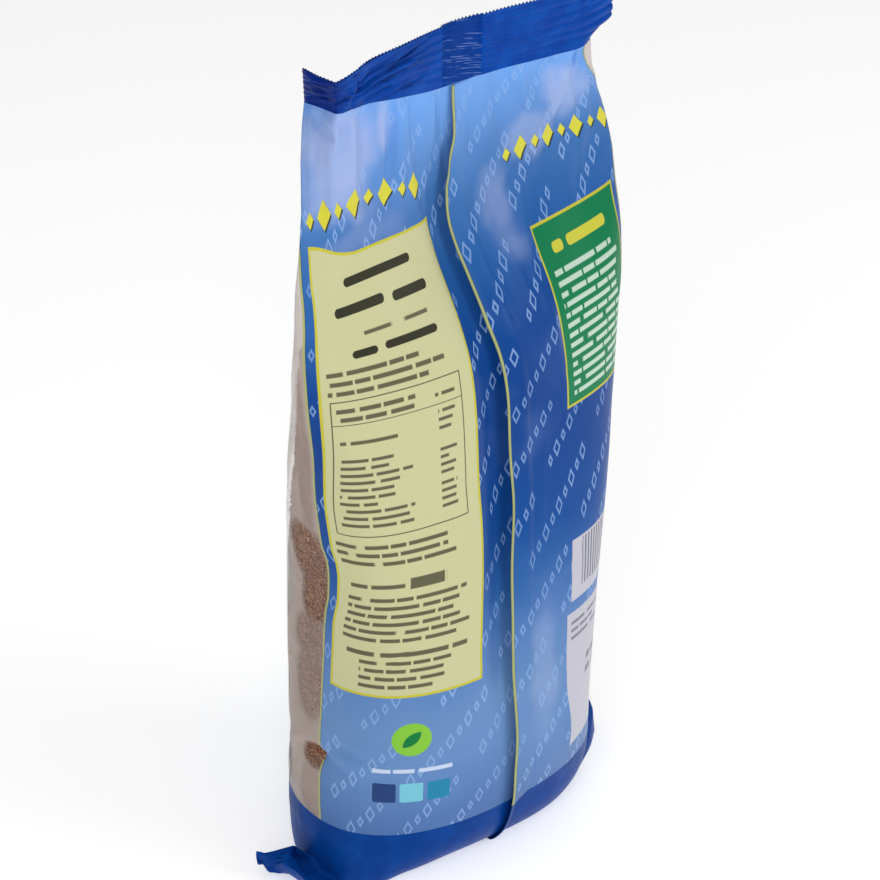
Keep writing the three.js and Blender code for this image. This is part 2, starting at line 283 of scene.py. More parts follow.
def small_folds(draw):
    """Seeded small folds: gathers that run out from both ends, and short creases."""
    folds = []
    for _ in range(GATHERS):
        arc, length = draw.uniform(-FLAT_WIDTH, FLAT_WIDTH), draw.uniform(10, 34)
        folds.append((arc, FOOT_HEIGHT + 3, arc + draw.uniform(-5, 5), FOOT_HEIGHT - length,
                      draw.uniform(1.0, 2.4), draw.uniform(-0.75, 0.7)))
        arc, length = draw.uniform(-FLAT_WIDTH, FLAT_WIDTH), draw.uniform(8, 24)
        folds.append((arc, 2, arc + draw.uniform(-6, 6), length,
                      draw.uniform(1.2, 2.6), draw.uniform(-0.35, 0.3)))
    for _ in range(CREASES):
        arc, height = draw.uniform(-FLAT_WIDTH, FLAT_WIDTH), draw.uniform(25, 245)
        heading, length = draw.normal(90, 38), draw.uniform(8, 30)
        folds.append((arc, height, arc + length * math.cos(math.radians(heading)),
                      height + length * math.sin(math.radians(heading)),
                      draw.uniform(0.9, 2.6), draw.uniform(-0.34, 0.34)))
    return folds


def seam_drift(height):
    return smooth_read(SEAM_DRIFT, height)[..., 0]


def seam_valley(arc, height):
    """How deep the film dips beside the seam: slowly from the left, and under the flap."""
    place = wrap(arc - seam_drift(height))
    dip = smoothstep(place, -13, -1.5) * (1 - smoothstep(place, 0.5, 8))
    return SEAM_VALLEY * dip * smoothstep(height, 36, 80) * (1 - smoothstep(height, 205, 252))


def relief(arc, height, folds):
    """How far the film lies out from the bare form."""
    out = np.zeros_like(arc)
    for at_arc, at_height, reach, rise, far in DENTS:
        across = wrap(arc - at_arc) / reach
        out += far * np.exp(-across ** 2 - ((height - at_height) / rise) ** 2)
    out -= seam_valley(arc, height)
    out *= smoothstep(FOOT_HEIGHT - height, 2, 25)
    small = np.zeros_like(arc)
    for fold in folds:
        small += fold_relief(arc, height, fold)
    out += small * smoothstep(FOOT_HEIGHT - height, 0, 2.5)
    return out * smoothstep(height, BOTTOM_ROUND * 0.5, 1.5 * BOTTOM_ROUND)


FORM_STEP = 0.5
FORM_ARCS = spread(-FLAT_WIDTH, FLAT_WIDTH, FORM_STEP)
FORM_HEIGHTS = np.concatenate([
    BOTTOM_ROUND * (1 - np.cos(np.linspace(0, np.pi / 2, 26))),
    spread(BOTTOM_ROUND, FOOT_HEIGHT, FORM_STEP)[1:]])


def film_form():
    """The film's points and outward directions on the form grid, in millimetres."""
    step = 1.2
    run = bare_form(FORM_ARCS + step, FORM_HEIGHTS) - bare_form(FORM_ARCS - step, FORM_HEIGHTS)
    up = (bare_form(FORM_ARCS, np.minimum(FORM_HEIGHTS + step, FOOT_HEIGHT))
          - bare_form(FORM_ARCS, np.maximum(FORM_HEIGHTS - step, 0.01)))
    out = np.cross(run, up)
    out /= np.linalg.norm(out, axis=-1, keepdims=True)
    arc, height = np.meshgrid(FORM_ARCS, FORM_HEIGHTS)
    folds = FOLDS + small_folds(np.random.default_rng(SEED))
    far = relief(arc, height, folds)
    bare = bare_form(FORM_ARCS, FORM_HEIGHTS)
    # where the tube is thin, both layers bend together, and none crosses the other
    across = np.where(FORM_ARCS < 0, -1, 1) * (FLAT_WIDTH - np.abs(FORM_ARCS))
    across = np.rint((across + FLAT_WIDTH) / (FORM_ARCS[1] - FORM_ARCS[0])).astype(int)
    between = np.linalg.norm(bare - bare[:, across], axis=-1)
    joined = (1 - smoothstep(between, 3, 10)) * smoothstep(FORM_HEIGHTS, 185, 210)[:, None]
    far = far - joined * far[:, across]
    return bare + CENTRING, out, far


FORM, FORM_OUT, FORM_RELIEF = film_form()


def form_read(table, arc, height):
    """Reads a table of the form grid between its points."""
    arc = (np.asarray(arc, float) + FLAT_WIDTH) % GIRTH
    column = np.clip(arc / (FORM_ARCS[1] - FORM_ARCS[0]), 0, len(FORM_ARCS) - 1.001)
    row = np.interp(height, FORM_HEIGHTS, np.arange(len(FORM_HEIGHTS)))
    row = np.clip(row, 0, len(FORM_HEIGHTS) - 1.001)
    i, j = row.astype(int), column.astype(int)
    u, v = row - i, column - j
    if table.ndim == 3:
        u, v = u[..., None], v[..., None]
    low = table[i, j] * (1 - v) + table[i, j + 1] * v
    high = table[i + 1, j] * (1 - v) + table[i + 1, j + 1] * v
    return low * (1 - u) + high * u


def film_point(arc, height, off=0.0, folded=1.0):
    """Points of the film, or a distance off it, in millimetres."""
    far = form_read(FORM_RELIEF, arc, height) * folded + off
    return form_read(FORM, arc, height) + form_read(FORM_OUT, arc, height) * far[..., None]


# Laying meshes

MEETING = 0.01            # points closer than this become one


def select_only(piece):
    bpy.ops.object.select_all(action="DESELECT")
    piece.select_set(True)
    bpy.context.view_layer.objects.active = piece


def lay_grid(name, arc, height, points):
    """A grid primitive whose points are moved to a film surface, with its print map."""
    rows, columns = arc.shape
    bpy.ops.object.select_all(action="DESELECT")
    bpy.ops.mesh.primitive_grid_add(
        x_subdivisions=columns - 1, y_subdivisions=rows - 1, size=2, location=(0, 0, 0))
    piece = bpy.context.object
    piece.name = piece.data.name = name
    mesh = piece.data
    flat = np.zeros(len(mesh.vertices) * 3)
    mesh.vertices.foreach_get("co", flat)
    flat = flat.reshape(-1, 3)
    column = np.rint((flat[:, 0] + 1) / 2 * (columns - 1)).astype(int)
    row = np.rint((flat[:, 1] + 1) / 2 * (rows - 1)).astype(int)
    mesh.vertices.foreach_set("co", (points[row, column] * MM).ravel())
    corner = np.zeros(len(mesh.loops), int)
    mesh.loops.foreach_get("vertex_index", corner)
    place = np.stack([arc[row, column] / GIRTH + 0.5, height[row, column] / GIRTH], -1)
    mesh.uv_layers[0].name = "film_place"
    mesh.uv_layers[0].data.foreach_set("uv", place[corner].ravel())
    mesh.update()
    select_only(piece)
    bpy.ops.object.shade_smooth()
    return piece


def drawn_round(arc, height):
    """The arc where a printed place lies: near the top the film is drawn round its folded edges."""
    place = wrap(arc)
    shift = np.where(place < 0,
                     -LEFT_DRAW * smoothstep(height, 206, 238) - smooth_read(LEFT_DRIFT, height)[..., 0],
                     RIGHT_DRAW * smoothstep(height, 195, 218)
                     - RIGHT_PULL * smoothstep(height, 236, 254))
    reach = smoothstep(np.abs(place), 10, PRINT_EDGE) * (1 - smoothstep(np.abs(place), WINDOW_EDGE, 140))
    return arc + shift * reach


def film_patch(name, arcs, heights, off=0.0):
    """A piece of the film's own surface, or a distance off it."""
    arc, height = np.meshgrid(arcs, heights)
    return lay_grid(name, arc, height, film_point(drawn_round(arc, height), height, off))


def face_outwards(piece):
    select_only(piece)
    bpy.ops.object.mode_set(mode="EDIT")
    bpy.ops.mesh.select_all(action="SELECT")
    bpy.ops.mesh.normals_make_consistent(inside=False)
    bpy.ops.object.mode_set(mode="OBJECT")


def shape_closed(piece):
    """Merges a wrapped grid's meeting edges and turns its faces outwards."""
    select_only(piece)
    bpy.ops.object.mode_set(mode="EDIT")
    bpy.ops.mesh.select_all(action="SELECT")
    bpy.ops.mesh.remove_doubles(threshold=MEETING * MM)
    bpy.ops.object.mode_set(mode="OBJECT")
    face_outwards(piece)
    return piece


def lay_closed(name, arc, height, points):
    return shape_closed(lay_grid(name, arc, height, points))


def dress(piece, material):
    piece.data.materials.clear()
    piece.data.materials.append(material)
    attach(piece, "root")
    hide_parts("pouch")
    return piece


# Writing nodes

def ink(red, green, blue):
    """A colour given in display values from 0 to 255."""
    def linear(value):
        value /= 255
        return value / 12.92 if value <= 0.04045 else ((value + 0.055) / 1.055) ** 2.4
    return linear(red), linear(green), linear(blue), 1.0


def operator_pair(operation):
    """Two operators that write one math node, with the term at the left and at the right."""
    return (lambda term, other: term.draft.math(operation, term, other),
            lambda term, other: term.draft.math(operation, other, term))


class Term:
    """What a node puts out. The signs + - * / and abs() on it write math nodes."""

    __add__, __radd__ = operator_pair("ADD")
    __sub__, __rsub__ = operator_pair("SUBTRACT")
    __mul__, __rmul__ = operator_pair("MULTIPLY")
    __truediv__, __rtruediv__ = operator_pair("DIVIDE")

    def __init__(self, draft, socket):
        self.draft, self.socket = draft, socket

    def __abs__(self):
        return self.draft.math("ABSOLUTE", self)


class Draft:
    """Writes the nodes of one material or node group."""

    def __init__(self, tree):
        self.tree = tree

    def node(self, kind, **settings):
        made = self.tree.nodes.new("ShaderNode" + kind)
        for key, value in settings.items():
            setattr(made, key, value)
        return made

    def read(self, node, output=0):
        return Term(self, node.outputs[output])

    def feed(self, socket, value):
        if isinstance(value, Term):
            self.tree.links.new(value.socket, socket)
        else:
            socket.default_value = value

    def math(self, operation, *values, clamp=False):
        made = self.node("Math", operation=operation, use_clamp=clamp)
        for socket, value in zip(made.inputs, values):
            self.feed(socket, value)
        return self.read(made)

    def step(self, value, low, high):
        """0 at low to 1 at high, smoothly; high may lie below low."""
        made = self.node("MapRange", interpolation_type="SMOOTHSTEP")
        ends = (high, low, 1.0, 0.0) if low > high else (low, high, 0.0, 1.0)
        for socket, given in zip(made.inputs, (value, *ends)):
            self.feed(socket, given)
        return self.read(made)

    def over(self, base, colour, mask):
        made = self.node("Mix", data_type="RGBA")
        for at, value in ((0, mask), (6, base), (7, colour)):
            self.feed(made.inputs[at], value)
        return self.read(made, 2)

    def vector(self, x, y):
        made = self.node("CombineXYZ")
        self.feed(made.inputs[0], x)
        self.feed(made.inputs[1], y)
        return self.read(made)

    def noise(self, scale, detail=2.0, rough=0.5, place=None):
        """Soft noise, on Object coordinates unless a place is given."""
        made = self.node("TexNoise")
        self.feed(made.inputs["Vector"], place or self.read(self.node("TexCoord"), "Object"))
        for name, value in (("Scale", scale), ("Detail", detail), ("Roughness", rough)):
            made.inputs[name].default_value = value
        return self.read(made)

    def chance(self, value):
        """A number from 0 to 1 drawn for each value."""
        made = self.node("TexWhiteNoise", noise_dimensions="1D")
        self.feed(made.inputs["W"], value)
        return self.read(made, "Value")

    def attribute(self, name):
        return self.read(self.node("Attribute", attribute_name=name), "Fac")

    def ramp(self, value, stops):
        made = self.node("ValToRGB")
        elements = made.color_ramp.elements
        while len(elements) < len(stops):
            elements.new(0.5)
        for element, (position, colour) in zip(elements, stops):
            element.position, element.color = position, colour
        self.feed(made.inputs[0], value)
        return self.read(made)

    def bump(self, height, distance, strength=1.0):
        made = self.node("Bump")
        made.inputs["Strength"].default_value = strength
        made.inputs["Distance"].default_value = distance
        self.feed(made.inputs["Height"], height)
        return self.read(made)

    def group(self, tree, **values):
        """Places a node group, and gives what it puts out by name."""
        made = self.node("Group", node_tree=tree)
        for name, value in values.items():
            self.feed(made.inputs[name], value)
        return {output.name: Term(self, output) for output in made.outputs}


def new_group(name, inputs, outputs):
    """An empty shader node group: its draft, its inputs by name, and the sockets of its end."""
    tree = bpy.data.node_groups.new(name, "ShaderNodeTree")
    for in_out, titles in (("INPUT", inputs), ("OUTPUT", outputs)):
        for title in titles.split():
            kind = "NodeSocketColor" if title == "Color" else "NodeSocketFloat"
            tree.interface.new_socket(title, in_out=in_out, socket_type=kind)
    draft = Draft(tree)
    begin, end = tree.nodes.new("NodeGroupInput"), tree.nodes.new("NodeGroupOutput")
    start = {title: Term(draft, begin.outputs[title]) for title in inputs.split()}
    return draft, start, end.inputs


# Shapes that the prints share

def box_group():
    """A printed box with rounded corners: its mask, and the distance from its edge."""
    draft, start, end = new_group(
        "printed box", "Along Height Left Right Bottom Top Corner Soft", "Mask Distance")
    math_ = draft.math

    def overhang(value, low, high):
        return abs(value - (low + high) * 0.5) - (high - low) * 0.5 + start["Corner"]

    dx = overhang(start["Along"], start["Left"], start["Right"])
    dy = overhang(start["Height"], start["Bottom"], start["Top"])
    px, py = math_("MAXIMUM", dx, 0.0), math_("MAXIMUM", dy, 0.0)
    outside = math_("SQRT", px * px + py * py)
    inside = math_("MINIMUM", math_("MAXIMUM", dx, dy), 0.0)
    distance = outside + inside - start["Corner"]
    draft.feed(end["Mask"], draft.step(distance / start["Soft"], 0.5, -0.5))
    draft.feed(end["Distance"], distance)
    return draft.tree


ROW_SOFT = 0.38           # how softly a bar's long edges are drawn, in millimetres
END_SOFT = 0.15


def rows_group():
    """A block of ruled bars with gaps, one bar to a row, ragged at the right."""
    draft, start, end = new_group(
        "printed rows", "Along Height Left Right Top Pitch Rows Thick Word Ragged Seed", "Mask")
    math_ = draft.math
    row = (start["Top"] - start["Height"]) / start["Pitch"]
    off = abs(math_("FRACT", row) - 0.5)
    bar = draft.step((off - start["Thick"] * 0.5) / (ROW_SOFT / start["Pitch"]), 0.5, -0.5)
    used = math_("GREATER_THAN", row, 0.0) * math_("LESS_THAN", row, start["Rows"])
    luck = draft.chance(math_("FLOOR", row) + start["Seed"])
    right = start["Right"] - luck * start["Ragged"]
    within = (draft.step(start["Along"] - start["Left"], -END_SOFT, END_SOFT)
              * draft.step(right - start["Along"], -END_SOFT, END_SOFT))
    # the gaps between words come at uneven steps
    along = start["Along"] / start["Word"] + luck * 7.3
    gap = math_("FRACT", along + math_("SINE", along * 2.3) * 0.3)
    word = draft.step(abs(gap - 0.5), 0.46, 0.42)
    draft.feed(end["Mask"], bar * used * (within * word))
    return draft.tree


def lozenge_group():
    """A chain of upright lozenges: Run is along it, Across is off it, and it rises by Turn."""
    draft, start, end = new_group(
        "lozenge chain", "Run Across Turn Pitch Wide Tall Line Odd", "Mask Shadow Count")
    math_ = draft.math
    count = start["Run"] / start["Pitch"]
    index = math_("FLOOR", count)
    dx = (math_("FRACT", count) - 0.5) * start["Pitch"]
    size = 1.0 - abs(math_("MODULO", index, 2.0)) * start["Odd"]
    cosine, sine = math_("COSINE", start["Turn"]), math_("SINE", start["Turn"])

    def shape(across, run):
        rise = run * sine + across * cosine
        along = run * cosine - across * sine
        return abs(rise) / start["Tall"] + abs(along) / start["Wide"] - size

    ring = abs(shape(start["Across"], dx) + start["Line"]) - start["Line"]
    draft.feed(end["Mask"], draft.step(ring, 0.06, -0.06))
    shifted = shape(start["Across"] + 0.5, dx - 0.35)
    draft.feed(end["Shadow"], draft.step(shifted, 0.1, -0.04))
    draft.feed(end["Count"], index)
    return draft.tree


BOX, ROWS, LOZENGES = box_group(), rows_group(), lozenge_group()

# The blue ground

# Height in millimetres and the blue printed there
FIELD_STOPS = [
    (14, (74, 106, 160)), (26, (83, 118, 174)), (45, (101, 139, 192)), (62, (102, 140, 190)),
    (80, (88, 128, 186)), (98, (50, 100, 167)), (115, (24, 78, 152)), (140, (17, 68, 143)),
    (165, (13, 64, 139)), (185, (18, 71, 146)), (205, (41, 96, 166)), (222, (62, 112, 176)),
    (240, (98, 146, 212)), (257, (112, 165, 236)),
]
FIELD_SWAY = 26.0         # how far the clouds shift those blues
PAINTED_HAZE_BLUE, PAINTED_SHEEN_BLUE, PAINTED_SHADE_BLUE = ink(126, 158, 214), ink(182, 192, 232), ink(24, 64, 134)
# Painted sheen where the film looks pale, and painted shade where it lies in the shade of a fold: arc,
# height, reach, rise, how much
PAINTED_SHEEN_PATCHES = [
    (-52, 244, 21, 19, 0.62), (-32, 250, 4, 10, 0.5), (50, 243, 13, 12, 0.5), (32, 232, 12, 9, 0.35),
    (16, 212, 9, 16, 0.3), (-44, 222, 20, 5, 0.2), (28, 176, 5, 16, 0.2), (12, 66, 7, 26, 0.22),
]
PAINTED_SHADE_PATCHES = [(-8, 113, 7, 24, 0.4), (-7, 80, 6, 14, 0.15)]
MOTIF_TURN = math.radians(46)
MOTIF_GAP = 12.6          # from one slanting chain to the next
MOTIF_SHIFT = 4.1         # how much further along each next chain starts
MOTIF_WORD, MOTIF_DRAWN = 11.0, 8.5    # of so many lozenges, how many are drawn
MOTIF_SHARE = 0.8
MOTIF_BLUE = ink(150, 184, 234)
LONG_WAY = 900.0          # keeps the count along the chains above zero


def field_group():
    """The blue ground: light at both ends, deep in the middle, with a lozenge motif, a painted hazy
    sheen, and patches of painted sheen and painted shade.
    """
    draft, start, end = new_group("blue field", "Along Height Motif", "Color")
    math_ = draft.math
    height = start["Height"] + (draft.noise(22) - 0.5) * FIELD_SWAY
    blue = draft.ramp(height / GIRTH, [(at / GIRTH, ink(*colour)) for at, colour in FIELD_STOPS])
    # a random lighter haze over the print: painted sheen
    painted_haze = draft.step(draft.noise(34, 3), 0.5, 0.85)
    blue = draft.over(blue, PAINTED_HAZE_BLUE, painted_haze * 0.2)
    ragged = (draft.noise(60) - 0.5) * 1.5
    # patches of painted sheen, then patches of painted shade
    for paint, places in ((PAINTED_SHEEN_BLUE, PAINTED_SHEEN_PATCHES), (PAINTED_SHADE_BLUE, PAINTED_SHADE_PATCHES)):
        for at, level, reach, rise, share in places:
            u, v = (start["Along"] - at) / reach, (start["Height"] - level) / rise
            off = math_("SQRT", u * u + v * v)
            blue = draft.over(blue, paint, draft.step(off + ragged, 1.15, 0.35) * share)
    cosine, sine = math.cos(MOTIF_TURN), math.sin(MOTIF_TURN)
    run = start["Along"] * cosine + start["Height"] * sine
    lane = (start["Height"] * cosine - start["Along"] * sine) / MOTIF_GAP
    index = math_("FLOOR", lane)
    off = (math_("FRACT", lane) - 0.5) * MOTIF_GAP
    chain = draft.group(LOZENGES, Run=run + LONG_WAY + index * MOTIF_SHIFT, Across=off,
                        Turn=MOTIF_TURN, Pitch=4.5, Wide=1.6, Tall=3.2, Line=0.2, Odd=0.3)
    words = math_("FLOORED_MODULO", chain["Count"] + index * 4.0, MOTIF_WORD)
    words = math_("LESS_THAN", words, MOTIF_DRAWN)
    faded = draft.noise(26, 1) * 1.1 + 0.1
    mask = chain["Mask"] * words * (start["Motif"] * faded)
    draft.feed(end["Color"], draft.over(blue, MOTIF_BLUE, mask))
    return draft.tree


FIELD = field_group()

# The prints

EDGE_YELLOW, EDGE_DARK = ink(170, 175, 116), ink(34, 70, 84)
BORDER_YELLOW = ink(196, 190, 62)
CREAM, TYPE_INK = ink(200, 199, 153), ink(22, 21, 17)
PANEL_GREEN, PANEL_WHITE = ink(22, 124, 78), ink(194, 193, 204)
LOZENGE_YELLOW, LOZENGE_SHADOW = ink(214, 208, 66), ink(44, 52, 50)
PRINT_LINE = 0.75         # width of the yellow line along a print's edge
SEAM_LINE = 1.0           # and of the one along the fin seam's free edge
CHAIN_START = 502.2       # keeps the count along a yellow chain above zero
CHAIN_PITCH = 6.2
HALF_CHAIN = 4 * CHAIN_PITCH
# The back's yellow chains: middle, level, bow, tilt
CHAINS = [(-42, 232.5, 0.0042, 0.0), (44, 227.2, 0.004, 0.075)]
# Large plain bars in the title's place: left, right, bottom, top
TITLE_BARS = [
    (-52.5, -27.0, 210.6, 213.2), (-57.5, -39.5, 203.0, 205.8), (-36.5, -23.5, 202.2, 205.0),
    (-53.5, -45.0, 190.6, 192.9), (-42.5, -24.0, 190.8, 193.1),
]
# Blocks of ruled bars: left, right, top, pitch, rows, thick, word, ragged, seed
CREAM_ROWS = [
    (-48.5, -26, 198.6, 3.2, 1, 0.34, 60, 0, 3), (-62.5, -17, 188.4, 3.1, 3, 0.46, 9, 16, 15),
    (-60.5, -31, 176.3, 2.9, 2, 0.5, 11, 8, 7), (-29, -22, 174.6, 2.9, 1, 0.4, 9, 0, 9),
    (-28.5, -22.4, 169.2, 2.7, 3, 0.4, 12, 2, 4), (-60, -42, 165.4, 2.9, 1, 0.42, 10, 0, 2),
    (-60, -36, 159.0, 2.55, 10, 0.44, 13, 15, 31), (-28.5, -22.4, 156.6, 2.55, 4, 0.42, 12, 1.5, 12),
    (-28.5, -22.4, 145.2, 2.55, 4, 0.42, 12, 1.5, 44), (-63, -19, 128.6, 2.9, 3, 0.46, 9, 24, 21),
    (-61, -43, 114.6, 2.8, 1, 0.5, 9, 0, 6), (-41.5, -28.5, 116.4, 5.6, 1, 0.66, 8.2, 0, 3),
    (-61, -19, 109.9, 2.85, 6, 0.46, 10, 9, 52), (-60, -20, 90.6, 2.9, 1, 0.56, 15, 0, 5),
    (-55, -25, 87.4, 2.8, 4, 0.46, 10, 5, 71),
]
WHITE_ROW = (-50, -24.6, 47.6, 3.0, 1, 0.5, 11, 0, 5)
GREEN_ROWS = (28.5, 62, 192.4, 3.15, 13, 0.48, 10, 6, 90)
SMALL_ROWS, LARGE_ROWS = (25, 48, 78, 2.7, 3, 0.42, 9, 9, 14), (36, 56, 62, 5.2, 2, 0.5, 12, 3, 8)
OVAL_ROWS = [
    (-22, 22, 166, 11, 1, 0.34, 60, 0, 3), (-27, 27, 155, 11, 1, 0.34, 60, 0, 3),
    (-19, 19, 143, 4.6, 2, 0.34, 13, 5, 8),
]
BANNER_ROWS = (-24, 24, 66.4, 5.6, 3, 0.34, 14, 8, 5)
# The front's leaves: x, height, turn in radians, length
LEAVES = [(-9, 114, 0.5, 10.0), (9, 114, -0.5, 10.0), (0, 118, 0.0, 12.0)]
# Plain tiles: left edge and colour
TILES = [(-50.0, ink(40, 66, 120)), (-41.4, ink(120, 196, 214)), (-32.6, ink(38, 132, 168))]


def edge_line(draft, colour, inward, width):
    """The yellow line along a print's edge, with a dark line on its inner side."""
    dark = draft.step(inward, width + 0.42, width + 0.12)
    colour = draft.over(colour, EDGE_DARK, dark * 0.6)
    return draft.over(colour, EDGE_YELLOW, draft.step(inward, width + 0.1, width - 0.1))


class Page:
    """The print of one side, on the blue field: each shape is laid over what is there."""

    def __init__(self, name, opposite=False):
        self.draft, start, self.end = new_group(name, "Along Height", "Color")
        self.along, self.height = start["Along"], start["Height"]
        if opposite:
            self.along = self.draft.math("FLOORED_MODULO", self.along, GIRTH) - FLAT_WIDTH
        self.colour = self.draft.group(
            FIELD, Along=self.along, Height=self.height, Motif=MOTIF_SHARE)["Color"]

    def lay(self, paint, mask):
        self.colour = self.draft.over(self.colour, paint, mask)

    def box(self, left, right, bottom, top, corner=0.05, height=None):
        return self.draft.group(
            BOX, Along=self.along, Height=height or self.height, Left=left, Right=right,
            Bottom=bottom, Top=top, Corner=corner, Soft=0.2)

    def rows(self, left, right, top, pitch, count, thick, word, ragged, seed):
        return self.draft.group(
            ROWS, Along=self.along, Height=self.height, Left=left, Right=right, Top=top,
            Pitch=pitch, Rows=count, Thick=thick, Word=word, Ragged=ragged, Seed=seed)["Mask"]

    def bordered(self, panel, ground, width):
        """A panel of one colour inside a yellow border line."""
        self.lay(BORDER_YELLOW, panel["Mask"])
        self.lay(ground, self.draft.step(panel["Distance"], 0.1 - width, -0.1 - width))

    def chain(self, off, across, half, soft, **sizes):
        """A chain of yellow lozenges, off its middle and across its line."""
        chain = self.draft.group(
            LOZENGES, Run=off + CHAIN_START, Across=across, Turn=0.0, Line=2.0, **sizes)
        reach = self.draft.step(abs(off), half + soft, half - soft)
        self.lay(LOZENGE_SHADOW, chain["Shadow"] * reach)
        self.lay(LOZENGE_YELLOW, chain["Mask"] * reach)

    def finish(self, half):
        """Draws the yellow lines beside the clear strips, and closes the group."""
        inward = half - abs(self.along)
        colour = edge_line(self.draft, self.colour, inward, PRINT_LINE)
        self.draft.feed(self.end["Color"], colour)
        return self.draft.tree


def draw_cream_panel(page):
    """The cream panel, its upper left corner drawn up, with a title, a ruled frame and rows."""
    step = page.draft.step
    pull = step(page.along, -44.0, -66.0) * step(page.height, 196.0, 218.0)
    page.bordered(page.box(-65.3, -14.0, 73.8, 219.3, height=page.height - pull * 5.0), CREAM, 0.9)
    for row in CREAM_ROWS:
        page.lay(TYPE_INK, page.rows(*row) * 0.8)
    for bar in TITLE_BARS:
        page.lay(TYPE_INK, page.box(*bar, 1.2)["Mask"] * 0.95)
    ruled = step(abs(page.box(-62.0, -19.6, 131.0, 178.0)["Distance"]), 0.28, 0.12)
    header = page.box(-62.0, -19.6, 170.0, 170.3)["Mask"]
    page.lay(TYPE_INK, page.draft.math("MAXIMUM", ruled, header) * 0.8)


def draw_disc_and_tiles(page):
    """A disc with a leaf, a white row and three plain tiles, below the cream panel."""
    math_, step = page.draft.math, page.draft.step
    dx, dy = page.along - -38.0, page.height - 58.3
    page.lay(ink(132, 196, 64), step(math_("SQRT", dx * dx + dy * dy), 6.3, 6.1))
    sides = [math_("SQRT", math_("POWER", dx + side * 2.4, 2.0) + math_("POWER", dy - side * 2.4, 2.0))
             for side in (1, -1)]
    page.lay(ink(20, 122, 62), step(math_("MAXIMUM", *sides), 5.3, 5.1))
    page.lay(ink(214, 226, 244), page.rows(*WHITE_ROW) * 0.8)
    for left, paint in TILES:
        page.lay(paint, page.box(left, left + 7.4, 34.0, 41.2, 0.7)["Mask"])


def draw_green_panel(page):
    page.bordered(page.box(24.6, 65.4, 149.0, 204.6), PANEL_GREEN, 0.8)
    for left, right in ((31.5, 36.5), (38.5, 57.5)):
        page.lay(ink(206, 202, 70), page.box(left, right, 195.6, 198.6, 1.2)["Mask"])
    page.lay(ink(206, 226, 212), page.rows(*GREEN_ROWS) * 0.85)


def draw_white_panels(page):
    """Two white panels, the lower one narrower at its foot, with plain ribs and rows."""
    math_, step = page.draft.math, page.draft.step
    upper = page.box(24.6, 64.5, 84.6, 105.4)["Mask"]
    lower = page.box(step(page.height, 58.0, 32.0) * 4.2 + 22.8, 64.5, 29.5, 80.6)["Mask"]
    page.lay(PANEL_WHITE, math_("MAXIMUM", upper, lower))
    ribs = step(math_("SINE", page.along * 3.6), -0.1, 0.3) * page.box(30, 60, 88.5, 104.6)["Mask"]
    page.lay(ink(86, 90, 104), ribs * 0.8)
    lines = math_("MAXIMUM", page.rows(*SMALL_ROWS), page.rows(*LARGE_ROWS))
    page.lay(ink(96, 98, 112), lines * 0.75)


def back_artwork():
    """The back print: cream panel at the left, green and white panels at the right."""
    page = Page("back artwork")
    for middle, level, bow, tilt in CHAINS:
        off = page.along - middle
        page.chain(off, page.height - level + off * (off * bow + tilt), HALF_CHAIN, 0.05,
                   Pitch=CHAIN_PITCH, Wide=2.9, Tall=4.0, Odd=0.45)
    draw_cream_panel(page)
    draw_disc_and_tiles(page)
    draw_green_panel(page)
    draw_white_panels(page)
    return page.finish(PRINT_EDGE)


def front_artwork():
    """The front print, which the photograph doesn't show: the same blue with a cream oval."""
    page = Page("front artwork", opposite=True)
    page.chain(page.along, page.height - 206.0 + page.along * page.along * 0.0036, 36.0, 0.2,
               Pitch=6.4, Wide=3.0, Tall=4.4, Odd=0.5)
    page.bordered(page.box(-34, 34, 88, 186, 30.0), CREAM, 1.6)
    for row in OVAL_ROWS:
        page.lay(TYPE_INK, page.rows(*row) * 0.92)
    for x, level, turn, size in LEAVES:
        dx, dy = page.along - x, page.height - level
        u = dx * math.cos(turn) + dy * math.sin(turn)
        v = dy * math.cos(turn) - dx * math.sin(turn)
        leaf = abs(u) * (4.2 / size) + v * v * (1.0 / size ** 2)
        page.lay(ink(30, 128, 72), page.draft.step(leaf, 1.04, 0.96))
    page.bordered(page.box(-30, 30, 46, 70, 4.0), PANEL_GREEN, 0.9)
    page.lay(ink(224, 232, 220), page.rows(*BANNER_ROWS) * 0.85)
    return page.finish(FLAT_WIDTH - WINDOW_EDGE)


# Materials

def waves_group():
    """Fine waviness of thin film: a height for bump, and a share for roughness."""
    draft, start, end = new_group("film waviness", "Fine", "Height Sheen")
    ridged = abs(draft.noise(90) - 0.5)
    draft.feed(end["Height"], ridged * 0.6 + draft.noise(520, 3, 0.6) * start["Fine"])
    draft.feed(end["Sheen"], draft.noise(60))
    return draft.tree


WAVES = waves_group()
PRINT_INNER, BLUE_INNER = ink(196, 202, 212), ink(120, 140, 176)
WAVE_HEIGHT = 0.00035     # of the film's fine waviness, in metres


def new_material(name):
    material = bpy.data.materials.new(name)
    material.use_nodes = True
    material.node_tree.nodes.clear()
    draft = Draft(material.node_tree)
    shader = draft.node("BsdfPrincipled")
    draft.feed(draft.node("OutputMaterial").inputs[0], draft.read(shader))
    return material, draft, shader.inputs


def film_place(draft):
    """The place on the film in millimetres, from the piece's own map."""
    split = draft.node("SeparateXYZ")
    draft.feed(split.inputs[0], draft.read(draft.node("UVMap", uv_map="film_place")))
    return (draft.read(split, 0) - 0.5) * GIRTH, draft.read(split, 1) * GIRTH


def finish_film(draft, shader, colour, rough, specular, fine=0.12, inner=None):
    """Gives a film its colour, outside and inside, its sheen and its fine waviness."""
    if inner:
        behind = draft.read(draft.node("NewGeometry"), "Backfacing")
        colour = draft.over(colour, inner, behind)
    draft.feed(shader["Base Color"], colour)
    waves = draft.group(WAVES, Fine=fine)
    draft.feed(shader["Roughness"], (waves["Sheen"] - 0.5) * 0.18 + rough)
    draft.feed(shader["Normal"], draft.bump(waves["Height"], WAVE_HEIGHT, 0.6))
    shader["Specular IOR Level"].default_value = specular


